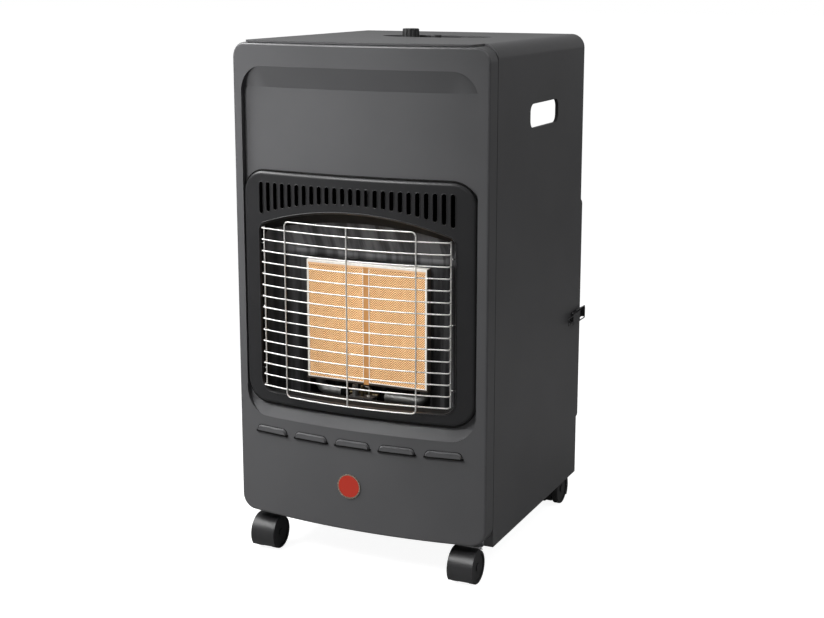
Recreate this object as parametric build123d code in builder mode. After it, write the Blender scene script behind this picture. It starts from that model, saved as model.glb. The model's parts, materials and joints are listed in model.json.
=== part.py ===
from build123d import *
from math import asin, atan, cos, sin, sqrt
import os

os.makedirs("parts", exist_ok=True)

# Portable gas cabinet heater: a sheet-steel cabinet on four twin-wheel casters, with a bowed
# front panel, a twin-plaque radiant burner behind a wire guard, a control tray in the top, a
# cylinder bay behind the heat shield and a hinged rear cover with a draw latch.
# Millimetres. +Z is up, the front faces -Y, and the origin is on the floor under the middle.

# ---------------------------------------------------------------- driving dimensions
# Cabinet
cabinet_width = 400.0
cabinet_depth = 365.0
cabinet_height = 717.0
cabinet_corner = 21.0
sheet = 1.2
edge_flange = 14.0
base_height = 55.0  # underside of the cabinet above the floor
side_proud = 8.0  # how far the hinge and the latch stand out of the sides
rear_proud = 18.5  # how far the latch keeper stands out behind the cabinet
handle_length = 119.0
handle_height = 35.0
handle_corner = 12.0
handle_from_front = 186.5
handle_level = 608.5
handle_roll = 5.0

# Base tray
front_lip = 28.0
rear_lip_gap = 2.0  # between the tray's rear lip and the rear cover's lower edge
side_lip = 22.0
well_radius = 130.0  # round well that takes the cylinder's foot ring
well_depth = 3.0
floor_slot_count = 5
floor_slot_pitch = 44.0
floor_slot_length = 134.0
floor_slot_width = 8.0

# Front panel
panel_return = 29.5
panel_bow = 21.5
panel_low = 9.5
panel_seam = 1.5
panel_corner = 22.0
panel_edge = 4.0
roof_lip = 3.0  # height of the top sheet's edge that oversails the panel
roof_set = 1.0  # that edge lies this far behind the panel's face
roof_lip_corner = 12.0
recess_half_width = 185.0
recess_low = 163.0
recess_high = 681.0
recess_depth = 8.0
recess_low_slope = 20.0
recess_high_slope = 30.0
recess_corner = 38.0
hole_margin = 13.0  # panel left around its firebox opening, under the surround
vent_count = 5
vent_pitch = 69.6
vent_width = 56.5
vent_height = 9.5
vent_proud = 3.0
vent_level = 139.7
vent_taper = 30.0
vent_slit = 1.5  # cut below each vent's lower edge
vent_edge = 1.0  # straight part left at the ends of a vent
frame_depth = 14.0  # inner frame that ties the panel to the cabinet
frame_corner = 26.0

# Firebox surround
surround_margin = 1.5
surround_top = 532.0
surround_corner = 36.0
surround_edge = 6.5
surround_sheet = 1.2
window_half_width = 157.5
window_low = 201.0
window_side_top = 461.0
window_arch_rise = 19.0
window_corner = 20.0
window_top_corner = 12.0
throat_depth = 27.0  # from the bow's crown to the back of the window's lip
throat_drop = 18.0
throat_inset = 4.0
slot_count = 25
slot_pitch = 12.6
slot_width = 6.2
slot_top = 515.0
slot_side_low = 469.0
slot_arch_rise = 23.0

# Wire guard
wire = 2.6
guard_rows = 15
guard_row_low = 213.5
guard_row_pitch = 16.8
guard_side_gap = 9.2  # between the guard's uprights and the window's sides
guard_crown = 63.5  # ahead of the cabinet's front edge
guard_bow = 18.5
guard_root = 37.5
guard_hook_bend = 3.5
guard_stub_level = 36.0
guard_loop_half = 103.5
guard_loop_low = 203.0
guard_loop_high = 462.5
guard_loop_corner = 7.0
weld_depth = 0.6

# Burner
plaque_width = 91.0
plaque_height = 171.0
plaque_thick = 13.0
plaque_low = 223.0
plaque_gap = 8.0
burner_face = 3.3  # plaque face ahead of the cabinet's front edge
frame_rim = 3.5
frame_top_rim = 6.0
frame_lip = 1.2
frame_skirt = 8.0
housing_depth = 34.0
housing_wall = 4.0
seat_depth = 3.7
burner_flange = 12.0
housing_from_front = 6.0

# Reflector
reflector_floor = 185.0
reflector_roof_front = 464.0
reflector_roof_back = 414.0
reflector_plane = 4.8
reflector_bend = 136.0
reflector_strip = 118.0
reflector_lip = 25.0  # where the roof and the walls start, ahead of the front edge
reflector_half = 158.0
flange_half_width = 178.0
flange_top = 529.0
flange_hole_top = 519.0
flange_hole_low = 196.5
pocket_depth = 23.0

# Gas train
tube_radius = 7.5
tube_level = 200.0
tube_from_front = 14.0
tube_riser = 86.0
tube_bend = 12.0
tube_bell = 9.0
tube_bell_length = 9.0
left_tube_end = -48.0
right_tube_end = 24.0
jet_radius = 3.5
jet_reach = 16.0
manifold_centre = -12.0
manifold_size = 16.0
jet_hexagon = 5.0  # radius over the corners
supply_radius = 4.0
supply_bore = 3.0
pilot_pipe_radius = 2.0
lead_radius = 1.5
pipe_bend = 10.0
pipe_from_front = 50.0
pipe_pitch = 11.0
pipe_shift = 14.0  # the pipes stand this far beside their ports
pipe_turn_from_front = 120.0
pilot_reach = 16.0  # the pilot stands this far ahead of the front edge
pilot_rise = 20.0  # pilot's shelf above the reflector's floor
pilot_height = 17.0  # pilot's tip above its shelf
pilot_drop = 11.0  # pilot's foot below the reflector's floor
pilot_margin = 8.0
pilot_radius = 4.5
probe_radius = 2.2
electrode_radius = 3.0
shield_from_front = 58.0
shield_top = 640.0
shield_flange = 14.0
deflector_low = 531.0
deflector_high = 572.0

# Controls
tray_centre_x = 25.0
tray_from_front = 190.0
tray_length = 178.0
tray_breadth = 78.0
tray_depth = 9.0
tray_wall = 2.0
tray_rim = 6.0
knob_x = -26.0
knob_from_front = 206.0
knob_radius = 13.5
knob_radius_top = 12.5
knob_height = 15.0
knob_top = 10.5  # above the top sheet
knob_grip_count = 12
knob_travel = 4.0
spindle_radius = 4.0
plunger_radius = 9.0
plunger_height = 12.0
valve_radius = 17.0
valve_height = 34.0
valve_port_drop = 24.0
nozzle_length = 26.0
nozzle_radius = 4.5
nozzle_barbs = 4
port_reach = 19.0
button_x = 17.0
button_from_front = 205.0
button_radius = 8.0
button_top = 1.5  # above the top sheet
button_root = 9.0  # below the tray floor
button_travel = 5.0
pad_x = 75.0  # raised oval in the control tray
pad_length = 34.0
pad_breadth = 14.0
pad_drop = 1.0  # its top below the top sheet's
igniter_radius = 9.5
igniter_length = 42.0

# Rear cover, hinges and latch
cover_low = 87.0
cover_high = 460.0
cover_proud = 12.0
cover_gap = 0.8
cover_corner = 12.0
cover_edge = 4.0
cover_vent_count = 9
cover_vent_pitch = 34.0
cover_vent_length = 60.0
cover_vent_width = 5.0
hinge_height = 50.0
hinge_inset = 60.0
hinge_leaf = 22.0
hinge_barrel = 3.7
hinge_pin_radius = 2.0
hinge_pin_margin = 2.0
latch_level = 269.0
latch_base_width = 20.0
latch_base_length = 34.0
latch_ear = 6.0
latch_lever_half = 8.5
latch_lever_plate = 35.0
latch_keeper_half = 8.0
latch_keeper_reach = 6.0
latch_pivot_back = 13.0  # pivot ahead of the cabinet's rear edge
latch_arm = 10.0
latch_handle = 57.0
latch_pin_radius = 1.2
bail_wire = 1.8

# Casters
wheel_radius = 25.0
wheel_width = 11.0
wheel_gap = 0.5
web_width = 15.0
axle_radius = 3.0
caster_trail = 22.0
caster_inset = 37.0  # swivel axis inside the cabinet's side
caster_from_front = 12.0
caster_from_rear = 31.0
caster_plate = 42.0
caster_plate_thick = 2.0
stem_radius = 4.0
stem_length = 14.0
boss_radius = 7.4
boss_low = 26.0
cowl_gap = 0.8
cowl_wall = 1.6
cowl_low = 8.0
cowl_back = 8.5

# Fits
running = 0.05  # radial clearance of a pin that turns
seat_gap = 0.3  # between pieces that lie against each other
slack = 0.5

# ---------------------------------------------------------------- derived places
half_width = cabinet_width / 2
front_reach = guard_crown + 3 * wire / 2 - weld_depth
front = (front_reach - cabinet_depth - rear_proud) / 2
rear = front + cabinet_depth
base = base_height
top = base + cabinet_height
bow_radius = (half_width**2 + panel_bow**2) / (2 * panel_bow)
bow_axis = front - panel_return - panel_bow + bow_radius
far = 2 * bow_radius
surround_half = recess_half_width - surround_margin
guard_half_width = window_half_width - guard_side_gap
surround_low = recess_low + recess_low_slope + surround_margin
burner_low = plaque_low - frame_rim
burner_high = plaque_low + plaque_height + frame_top_rim
burner_half = plaque_gap / 2 + plaque_width + frame_rim
shield_y = front + shield_from_front


def bow_y(x, inset=0.0):
    """Y of the bowed surface at x, moved back by inset."""
    return bow_axis - sqrt((bow_radius - inset) ** 2 - x**2)


def bowed_block(inset, low, high, back, half):
    """Solid from the bow, moved back by inset, to a flat plane, between two heights."""
    with BuildPart() as block:
        with BuildSketch(Plane.XY.offset(low)):
            with BuildLine():
                crown = ThreePointArc(
                    (-half, bow_y(half, inset)), (0, bow_y(0, inset)), (half, bow_y(half, inset))
                )
                Polyline(crown @ 1, (half, back), (-half, back), crown @ 0)
            make_face()
        extrude(amount=high - low)
    return block.part


def rounded_block(inset, low, high, back, half, corner, edge):
    """Bowed block whose corners, seen from the front, and whose front edge are rounded."""
    block = bowed_block(inset, low, high, back, half)
    block = block.fillet(corner, block.edges().filter_by(Axis.Y))
    return block.fillet(edge, block.faces().sort_by(Axis.Y)[0].edges())


def front_prism(half, low, high, corner, ahead, behind):
    """Upright rounded rectangle, as seen from the front, from ahead to behind."""
    with BuildPart() as prism:
        with BuildSketch(Plane.XZ.offset(-behind)):
            with Locations((0, (low + high) / 2)):
                RectangleRounded(2 * half, high - low, corner)
        extrude(amount=behind - ahead)
    return prism.part


def recess_form(grow):
    """The pressed recess of the front panel, grown by the sheet for the inner face."""
    crown = bow_y(0)
    floor = recess_depth + grow
    ahead = 2 * recess_depth
    low_pitch = recess_low_slope / recess_depth
    high_pitch = recess_high_slope / recess_depth
    low = base + recess_low - grow * sqrt(1 + low_pitch**2)
    high = base + recess_high + grow * sqrt(1 + high_pitch**2)
    with BuildPart() as form:
        with BuildSketch(Plane.YZ):
            with BuildLine():
                Polyline(
                    (crown + floor, low + floor * low_pitch),
                    (crown + floor, high - floor * high_pitch),
                    (crown - ahead, high + ahead * high_pitch),
                    (crown - ahead, low - ahead * low_pitch),
                    close=True,
                )
            make_face()
        revolve(axis=Axis((0, bow_axis, 0), (0, 0, 1)))
    outline = front_prism(
        recess_half_width + grow, low, high, recess_corner + grow, front - 4 * panel_return, front
    )
    return form.part & outline


# ---------------------------------------------------------------- cabinet wrap
def wrap_outline(inset, low, high):
    """Front view of the cabinet between two heights, with its rounded top corners."""
    with BuildSketch(Plane.XZ) as outline:
        with Locations((0, (low + high) / 2)):
            Rectangle(cabinet_width - 2 * inset, high - low)
        fillet(outline.vertices().group_by(Axis.Y)[-1], cabinet_corner - inset)
    return outline.sketch


roof_lip_half = half_width - cabinet_corner
roof_lip_low = top - roof_lip + seat_gap
handle_centre = front + handle_from_front
with BuildPart() as cabinet_wrap:
    with BuildSketch(Plane.XZ.offset(-front)):
        add(wrap_outline(0, base, top))
        add(wrap_outline(sheet, base - sheet, top - sheet), mode=Mode.SUBTRACT)
    extrude(amount=-cabinet_depth)
    # The edges at the front and the rear are folded inwards.
    for edge in (front, rear - sheet):
        with BuildSketch(Plane.XZ.offset(-edge)):
            add(wrap_outline(0, base, top))
            add(wrap_outline(edge_flange, base - sheet, top - edge_flange), mode=Mode.SUBTRACT)
        extrude(amount=-sheet)
    # The top sheet oversails the front panel, follows its bow and is folded down at its edge.
    with BuildSketch(Plane.XY.offset(roof_lip_low)) as brow:
        with BuildLine():
            brow_line = ThreePointArc(
                (-roof_lip_half, bow_y(roof_lip_half, roof_set)),
                (0, bow_y(0, roof_set)),
                (roof_lip_half, bow_y(roof_lip_half, roof_set)),
            )
            Polyline(brow_line @ 1, (roof_lip_half, front), (-roof_lip_half, front), brow_line @ 0)
        make_face()
        fillet(brow.vertices().group_by(Axis.Y)[0], roof_lip_corner)
    extrude(amount=top - roof_lip_low)
    with BuildSketch(Plane.XY.offset(roof_lip_low)):
        offset(brow.sketch, amount=-sheet)
    extrude(amount=top - sheet - roof_lip_low, mode=Mode.SUBTRACT)
    # Hand holes with rolled edges in both sides.
    for side in (-1, 1):
        with BuildSketch(Plane.YZ.offset(side * half_width)):
            with Locations((handle_centre, base + handle_level)):
                RectangleRounded(
                    handle_length + 2 * sheet, handle_height + 2 * sheet, handle_corner + sheet
                )
        extrude(amount=-side * handle_roll)
        with BuildSketch(Plane.YZ.offset(side * (half_width + slack))):
            with Locations((handle_centre, base + handle_level)):
                RectangleRounded(handle_length, handle_height, handle_corner)
        extrude(amount=-side * (handle_roll + 2 * slack), mode=Mode.SUBTRACT)
    # Opening for the control tray.
    with BuildSketch(Plane.XY.offset(top - 2 * sheet)):
        with Locations((tray_centre_x, front + tray_from_front)):
            Ellipse(tray_length / 2, tray_breadth / 2)
    extrude(amount=3 * sheet, mode=Mode.SUBTRACT)
cabinet_wrap.part.label = "cabinet_wrap"
export_step(cabinet_wrap.part, "parts/cabinet_wrap.step")

# ---------------------------------------------------------------- base tray
tray_half = half_width - sheet
well_y = (shield_y + rear) / 2
well_low = base - well_depth
with BuildPart() as base_tray:
    with BuildSketch(Plane.XY.offset(base)):
        with Locations((0, front + cabinet_depth / 2)):
            Rectangle(2 * tray_half, cabinet_depth - 4 * sheet)
    extrude(amount=sheet)
    for side in (-1, 1):
        with BuildSketch(Plane.XY.offset(base)):
            with Locations((side * (tray_half - sheet / 2), front + cabinet_depth / 2)):
                Rectangle(sheet, cabinet_depth - 4 * sheet)
        extrude(amount=side_lip)
    with BuildSketch(Plane.XY.offset(base)):
        with Locations((0, front + 5 * sheet / 2)):
            Rectangle(2 * tray_half, sheet)
    extrude(amount=front_lip)
    with BuildSketch(Plane.XY.offset(base)):
        with Locations((0, rear - 5 * sheet / 2)):
            Rectangle(2 * tray_half, sheet)
    extrude(amount=cover_low - rear_lip_gap)
    # The cylinder stands in a pressed well.
    with BuildSketch(Plane.XY.offset(well_low)):
        with Locations((0, well_y)):
            Circle(well_radius + sheet)
    extrude(amount=well_depth + sheet)
    with BuildSketch(Plane.XY.offset(well_low + sheet)):
        with Locations((0, well_y)):
            Circle(well_radius)
    extrude(amount=well_depth, mode=Mode.SUBTRACT)
    # Air slots across the well.
    with BuildSketch(Plane.XY.offset(well_low)):
        with Locations((0, well_y)):
            with GridLocations(0, floor_slot_pitch, 1, floor_slot_count):
                SlotOverall(floor_slot_length, floor_slot_width)
    extrude(amount=sheet, mode=Mode.SUBTRACT)
base_tray.part.label = "base_tray"
export_step(base_tray.part, "parts/base_tray.step")

# ---------------------------------------------------------------- front frame
panel_bottom = base + panel_low
panel_top = top - roof_lip
frame_outer = front_prism(
    half_width - sheet, panel_bottom + sheet, panel_top - sheet, frame_corner, front - frame_depth, front
)
frame_inner = front_prism(
    half_width - 2 * sheet, panel_bottom + 2 * sheet, panel_top - 2 * sheet, frame_corner - sheet,
    front - 2 * frame_depth, front + sheet,
)
with BuildPart() as front_frame:
    add(frame_outer)
    add(frame_inner, mode=Mode.SUBTRACT)
front_frame.part.label = "front_frame"
export_step(front_frame.part, "parts/front_frame.step")

# ---------------------------------------------------------------- front panel


def vent_form(x, shrink, drop):
    """Bulge of one air vent at x, shrunk by the sheet for its hollow, cut off drop below its edge."""
    turn = asin(x / bow_radius)
    face = Plane(
        origin=(x, bow_y(x), base + vent_level),
        x_dir=(cos(turn), sin(turn), 0),
        z_dir=(sin(turn), -cos(turn), 0),
    )
    with BuildPart() as form:
        with BuildSketch(face.offset(-2 * sheet)) as outline:
            Rectangle(vent_width - 2 * shrink, 2 * (vent_height - shrink))
            fillet(outline.vertices(), vent_height - shrink - vent_edge)
        extrude(amount=2 * sheet + vent_proud - shrink, taper=vent_taper)
        split(bisect_by=Plane.XY.offset(base + vent_level - drop), keep=Keep.TOP)
    return form.part


panel_back = front - panel_seam
panel_form = rounded_block(0, panel_bottom, panel_top, panel_back, half_width, panel_corner, panel_edge)
panel_core = rounded_block(
    sheet,
    panel_bottom + sheet,
    panel_top - sheet,
    front,
    half_width - sheet,
    panel_corner - sheet,
    panel_edge - sheet,
)
panel_hole = front_prism(
    surround_half - hole_margin,
    base + surround_low + hole_margin,
    base + surround_top - hole_margin,
    surround_corner - hole_margin,
    -far,
    front,
)
vent_places = [(column - (vent_count - 1) / 2) * vent_pitch for column in range(vent_count)]
with BuildPart() as front_panel:
    add(panel_form - recess_form(0) - (panel_core - recess_form(sheet)))
    add(panel_hole, mode=Mode.SUBTRACT)
    add([vent_form(x, 0, 0) for x in vent_places])
    add([vent_form(x, sheet, vent_slit) for x in vent_places], mode=Mode.SUBTRACT)
front_panel.part.label = "front_panel"
export_step(front_panel.part, "parts/front_panel.step")

# ---------------------------------------------------------------- firebox surround


def window_outline(y, grow):
    """The window's arched outline at y, seen from the front, narrowing inwards."""
    share = (y - bow_y(0)) / throat_depth
    half = window_half_width - throat_inset * share + grow
    low = base + window_low + throat_inset * share - grow
    side_top = base + window_side_top - throat_drop * share + grow
    with BuildSketch(Plane.XZ.offset(-y)) as outline:
        with BuildLine():
            arch = ThreePointArc((-half, side_top), (0, side_top + window_arch_rise), (half, side_top))
            Polyline(arch @ 1, (half, low), (-half, low), arch @ 0)
        make_face()
        fillet(outline.vertices().group_by(Axis.Y)[0], window_corner + grow)
        fillet(outline.vertices().group_by(Axis.Y)[-1], window_top_corner + grow)
    return outline.sketch


def throat_form(grow, ahead, behind):
    """The window's tapering throat, from ahead of the bow's crown to behind it."""
    with BuildPart() as form:
        add(window_outline(bow_y(0) - ahead, grow))
        add(window_outline(bow_y(0) + behind, grow))
        loft()
    return form.part


skirt_inset = recess_depth - seat_gap
surround_low_z = base + surround_low
surround_top_z = base + surround_top
surround_form = rounded_block(
    0, surround_low_z, surround_top_z, front, surround_half, surround_corner, surround_edge
)
surround_core = rounded_block(
    surround_sheet,
    surround_low_z + surround_sheet,
    surround_top_z - surround_sheet,
    front,
    surround_half - surround_sheet,
    surround_corner - surround_sheet,
    surround_edge - surround_sheet,
)
behind_skirt = bowed_block(skirt_inset, base, top, front + slack, half_width)
throat_skin = throat_form(surround_sheet, slack, throat_depth)
throat_skin &= bowed_block(0, base, top, front, half_width)
with BuildPart() as firebox_surround:
    add(surround_form - surround_core - behind_skirt)
    add(throat_skin)
    add(throat_form(0, throat_depth / 4, throat_depth + slack), mode=Mode.SUBTRACT)
    # A row of upright slots stands over the window, and their feet follow its arch.
    with BuildSketch(Plane.XZ.offset(-bow_y(0) + slack)):
        for column in range(slot_count):
            slot_x = (column - (slot_count - 1) / 2) * slot_pitch
            reach = 2 * slot_x / (slot_pitch * (slot_count - 1))
            foot = slot_side_low + slot_arch_rise * (1 - reach**2)
            with Locations((slot_x, base + (slot_top + foot) / 2)):
                SlotOverall(slot_top - foot, slot_width, rotation=90)
    extrude(amount=-(panel_bow + surround_sheet), mode=Mode.SUBTRACT)
firebox_surround.part.label = "firebox_surround"
export_step(firebox_surround.part, "parts/firebox_surround.step")

# ---------------------------------------------------------------- wire guard
guard_radius = (guard_half_width**2 + guard_bow**2) / (2 * guard_bow)
guard_axis = front - guard_crown + guard_radius
loop_radius = guard_radius + wire - weld_depth
row_places = [base + guard_row_low + row * guard_row_pitch for row in range(guard_rows)]


def swept_wire(path, thickness):
    """Round wire along a path."""
    with BuildPart() as bar:
        add(path)
        with BuildSketch(Plane(origin=path @ 0, z_dir=path % 0)):
            Circle(thickness / 2)
        sweep(path=path)
    return bar.part


def row_path(z):
    """One bowed row of the guard with both ends hooked back to the side uprights."""
    hook = guard_hook_bend
    lean = asin((guard_half_width - hook) / (guard_radius - hook))
    side_y = guard_axis - (guard_radius - hook) * cos(lean)
    bow_end = (guard_radius * sin(lean), guard_axis - guard_radius * cos(lean), z)
    bow_start = (-bow_end[0], bow_end[1], z)
    root_y = front - guard_root - wire / 2 + weld_depth
    with BuildLine() as path:
        Line((-guard_half_width, root_y, z), (-guard_half_width, side_y, z))
        TangentArc((-guard_half_width, side_y, z), bow_start, tangent=(0, -1, 0))
        ThreePointArc(bow_start, (0, guard_axis - guard_radius, z), bow_end)
        TangentArc(bow_end, (guard_half_width, side_y, z), tangent=(cos(lean), sin(lean), 0))
        Line((guard_half_width, side_y, z), (guard_half_width, root_y, z))
    return path.wires()[0]


def loop_path():
    """The rounded loop that stands over the rows."""
    corner = guard_loop_corner
    low = base + guard_loop_low
    high = base + guard_loop_high
    lean = asin(guard_loop_half / sqrt(loop_radius**2 + corner**2)) - atan(corner / loop_radius)
    bar_x = loop_radius * sin(lean)
    bar_y = guard_axis - loop_radius * cos(lean)
    upright_y = bar_y + corner * sin(lean)
    crown_y = guard_axis - loop_radius
    half = guard_loop_half
    with BuildLine() as path:
        Line((-half, upright_y, (low + high) / 2), (-half, upright_y, high - corner))
        TangentArc((-half, upright_y, high - corner), (-bar_x, bar_y, high), tangent=(0, 0, 1))
        ThreePointArc((-bar_x, bar_y, high), (0, crown_y, high), (bar_x, bar_y, high))
        TangentArc(
            (bar_x, bar_y, high), (half, upright_y, high - corner), tangent=(cos(lean), sin(lean), 0)
        )
        Line((half, upright_y, high - corner), (half, upright_y, low + corner))
        TangentArc((half, upright_y, low + corner), (bar_x, bar_y, low), tangent=(0, 0, -1))
        ThreePointArc((bar_x, bar_y, low), (0, crown_y, low), (-bar_x, bar_y, low))
        TangentArc(
            (-bar_x, bar_y, low), (-half, upright_y, low + corner), tangent=(-cos(lean), sin(lean), 0)
        )
        Line((-half, upright_y, low + corner), (-half, upright_y, (low + high) / 2))
    return path.wires()[0]


def throat_side_x(y):
    """Half width of the window's throat at y."""
    return window_half_width - throat_inset * (y - bow_y(0)) / throat_depth


stub_y = front - guard_stub_level
stub_tip = throat_side_x(stub_y) - seat_gap
upright_low = row_places[0] - wire / 2
upright_high = row_places[-1] + wire / 2
stub_rise = 3 * guard_row_pitch / 2
stub_places = [upright_low + stub_rise, (upright_low + upright_high) / 2, upright_high - stub_rise]
with BuildPart() as guard_rows:
    add([swept_wire(row_path(z), wire) for z in row_places])
guard_rows.part.label = "guard_rows"
export_step(guard_rows.part, "parts/guard_rows.step")

with BuildPart() as guard_loop:
    add(swept_wire(loop_path(), wire))
guard_loop.part.label = "guard_loop"
export_step(guard_loop.part, "parts/guard_loop.step")

with BuildPart() as guard_uprights:
    with BuildSketch(Plane.XY.offset(base + guard_loop_low + wire / 2 - weld_depth)):
        with Locations((0, guard_axis - loop_radius)):
            Circle(wire / 2)
    extrude(amount=guard_loop_high - guard_loop_low - wire + 2 * weld_depth)
    for side in (-1, 1):
        with BuildSketch(Plane.XY.offset(upright_low)):
            with Locations((side * guard_half_width, front - guard_root)):
                Circle(wire / 2)
        extrude(amount=upright_high - upright_low)
        with BuildSketch(Plane.YZ.offset(side * guard_half_width)):
            with Locations([(stub_y, z) for z in stub_places]):
                Circle(wire / 2)
        extrude(amount=side * (stub_tip - guard_half_width))
guard_uprights.part.label = "guard_uprights"
export_step(guard_uprights.part, "parts/guard_uprights.step")

# ---------------------------------------------------------------- reflector box
back_wall = front + reflector_plane
back_face = back_wall + sheet
skin_gap = recess_depth + sheet + seat_gap  # from the bow's surface to what lies behind the panel
throat_back = bow_y(0) + throat_depth + seat_gap


def reflector_form(grow):
    """The reflector's hollow, open to the front, grown by the sheet for its outside."""
    ahead = front - 2 * panel_return
    with BuildPart() as form:
        with BuildSketch(Plane.XY.offset(base)):
            with BuildLine():
                walls = Polyline(
                    (reflector_half + grow, ahead),
                    (reflector_half + grow, front - reflector_lip),
                    (reflector_bend + grow, front),
                    (reflector_strip + grow, back_wall + grow),
                    (0, back_wall + grow),
                )
                mirror(walls, about=Plane.YZ)
                Line(walls @ 0, (-reflector_half - grow, ahead))
            make_face()
        extrude(amount=cabinet_height)
        with BuildSketch(Plane.YZ.offset(-half_width)):
            with BuildLine():
                Polyline(
                    (ahead, base + reflector_floor - grow),
                    (ahead, base + reflector_roof_front + grow),
                    (front - reflector_lip, base + reflector_roof_front + grow),
                    (back_wall + grow, base + reflector_roof_back + grow),
                    (back_wall + grow, base + reflector_floor - grow),
                    close=True,
                )
            make_face()
        extrude(amount=cabinet_width, mode=Mode.INTERSECT)
    return form.part


behind_skin = bowed_block(skin_gap, base, top, back_face, half_width)
flange_form = front_prism(
    flange_half_width,
    base + reflector_floor - sheet,
    base + flange_top,
    surround_corner - hole_margin,
    -far,
    front,
)
flange_form -= front_prism(
    reflector_half,
    base + flange_hole_low,
    base + flange_hole_top,
    surround_corner - 2 * hole_margin,
    -far,
    front,
)
flange_form &= bowed_block(skin_gap, base, top, front, half_width)
flange_form -= bowed_block(skin_gap + sheet, base, top, front + slack, half_width)
pocket_half = burner_half + seat_gap
pocket_top = base + burner_low - seat_gap
pocket_back = back_face + pocket_depth
pipe_y = front + pipe_from_front
pipe_bore = supply_radius + seat_gap
port_x = [knob_x + (pipe - 1) * pipe_pitch for pipe in range(3)]
riser_x = [x + pipe_shift for x in port_x] + [button_x]
pilot_x = [manifold_centre + pipe * pipe_pitch for pipe in range(3)]
pilot_y = front - pilot_reach
lead_bores = [supply_radius / 2, lead_radius, lead_radius]
with BuildPart() as reflector_box:
    add(reflector_form(sheet) & behind_skin)
    add(reflector_form(0), mode=Mode.SUBTRACT)
    # The roof starts behind the window's throat.
    with BuildSketch(Plane.XY.offset(base + (reflector_roof_front + reflector_roof_back) / 2)):
        with Locations((0, throat_back - panel_return)):
            Rectangle(2 * reflector_half, 2 * panel_return)
    extrude(amount=reflector_roof_front, mode=Mode.SUBTRACT)
    add(flange_form)
    # A pocket below the burner carries the mixing tubes.
    with BuildSketch(Plane.XY.offset(base + reflector_floor - sheet)):
        with Locations((0, (back_face + pocket_back) / 2)):
            Rectangle(2 * (pocket_half + sheet), pocket_back - back_face)
    extrude(amount=pocket_top - base - reflector_floor + sheet)
    with BuildSketch(Plane.XY.offset(base + reflector_floor)):
        with Locations((0, (back_face + pocket_back) / 2 - sheet)):
            Rectangle(2 * pocket_half, pocket_back - back_face)
    extrude(amount=burner_low, mode=Mode.SUBTRACT)
    # The burner looks through an opening in the back wall.
    with BuildSketch(Plane.XZ.offset(-back_face - sheet)):
        with Locations((0, base + (reflector_floor + burner_high + seat_gap) / 2)):
            Rectangle(2 * pocket_half, burner_high + seat_gap - reflector_floor)
    extrude(amount=2 * sheet + reflector_plane, mode=Mode.SUBTRACT)
    # Passages for the supply pipe and for the pilot's lines.
    with BuildSketch(Plane.XZ.offset(-pocket_back - sheet)):
        with Locations((manifold_centre, base + tube_level)):
            Circle(pipe_bore)
    extrude(amount=3 * sheet, mode=Mode.SUBTRACT)
    with BuildSketch(Plane.XY.offset(base + reflector_floor - 2 * sheet)):
        for x, bore in zip(pilot_x, lead_bores):
            with Locations((x, pilot_y)):
                Circle(bore + seat_gap)
    extrude(amount=3 * sheet, mode=Mode.SUBTRACT)
reflector_box.part.label = "reflector_box"
export_step(reflector_box.part, "parts/reflector_box.step")

# ---------------------------------------------------------------- burner
plaque_x = (plaque_gap + plaque_width) / 2
plaque_z = base + plaque_low + plaque_height / 2
burner_z = base + (burner_low + burner_high) / 2
burner_front = front - burner_face - frame_lip
housing_front = front + housing_from_front
with BuildPart() as burner_frame:
    with BuildSketch(Plane.XZ.offset(-burner_front)):
        with Locations((0, burner_z)):
            Rectangle(2 * burner_half, burner_high - burner_low)
    extrude(amount=-(housing_front - burner_front))
    frame_edges = burner_frame.faces().sort_by(Axis.Y)[0].edges()
    fillet(frame_edges, frame_lip)
    for side in (-1, 1):
        with BuildSketch(Plane.XZ.offset(-burner_front)):
            with Locations((side * plaque_x, plaque_z)):
                Rectangle(plaque_width - 2 * frame_lip, plaque_height - 2 * frame_lip)
        extrude(amount=-frame_lip, mode=Mode.SUBTRACT)
        with BuildSketch(Plane.XZ.offset(-burner_front - frame_lip)):
            with Locations((side * plaque_x, plaque_z)):
                Rectangle(plaque_width, plaque_height)
        extrude(amount=-(housing_front - burner_front), mode=Mode.SUBTRACT)
burner_frame.part.label = "burner_frame"
export_step(burner_frame.part, "parts/burner_frame.step")

for side, name in ((-1, "plaque_left"), (1, "plaque_right")):
    with BuildPart() as plaque:
        with BuildSketch(Plane.XZ.offset(-front + burner_face)):
            with Locations((side * plaque_x, plaque_z)):
                Rectangle(plaque_width - 2 * seat_gap, plaque_height - 2 * seat_gap)
        extrude(amount=-plaque_thick)
    plaque.part.label = name
    export_step(plaque.part, f"parts/{name}.step")

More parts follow.
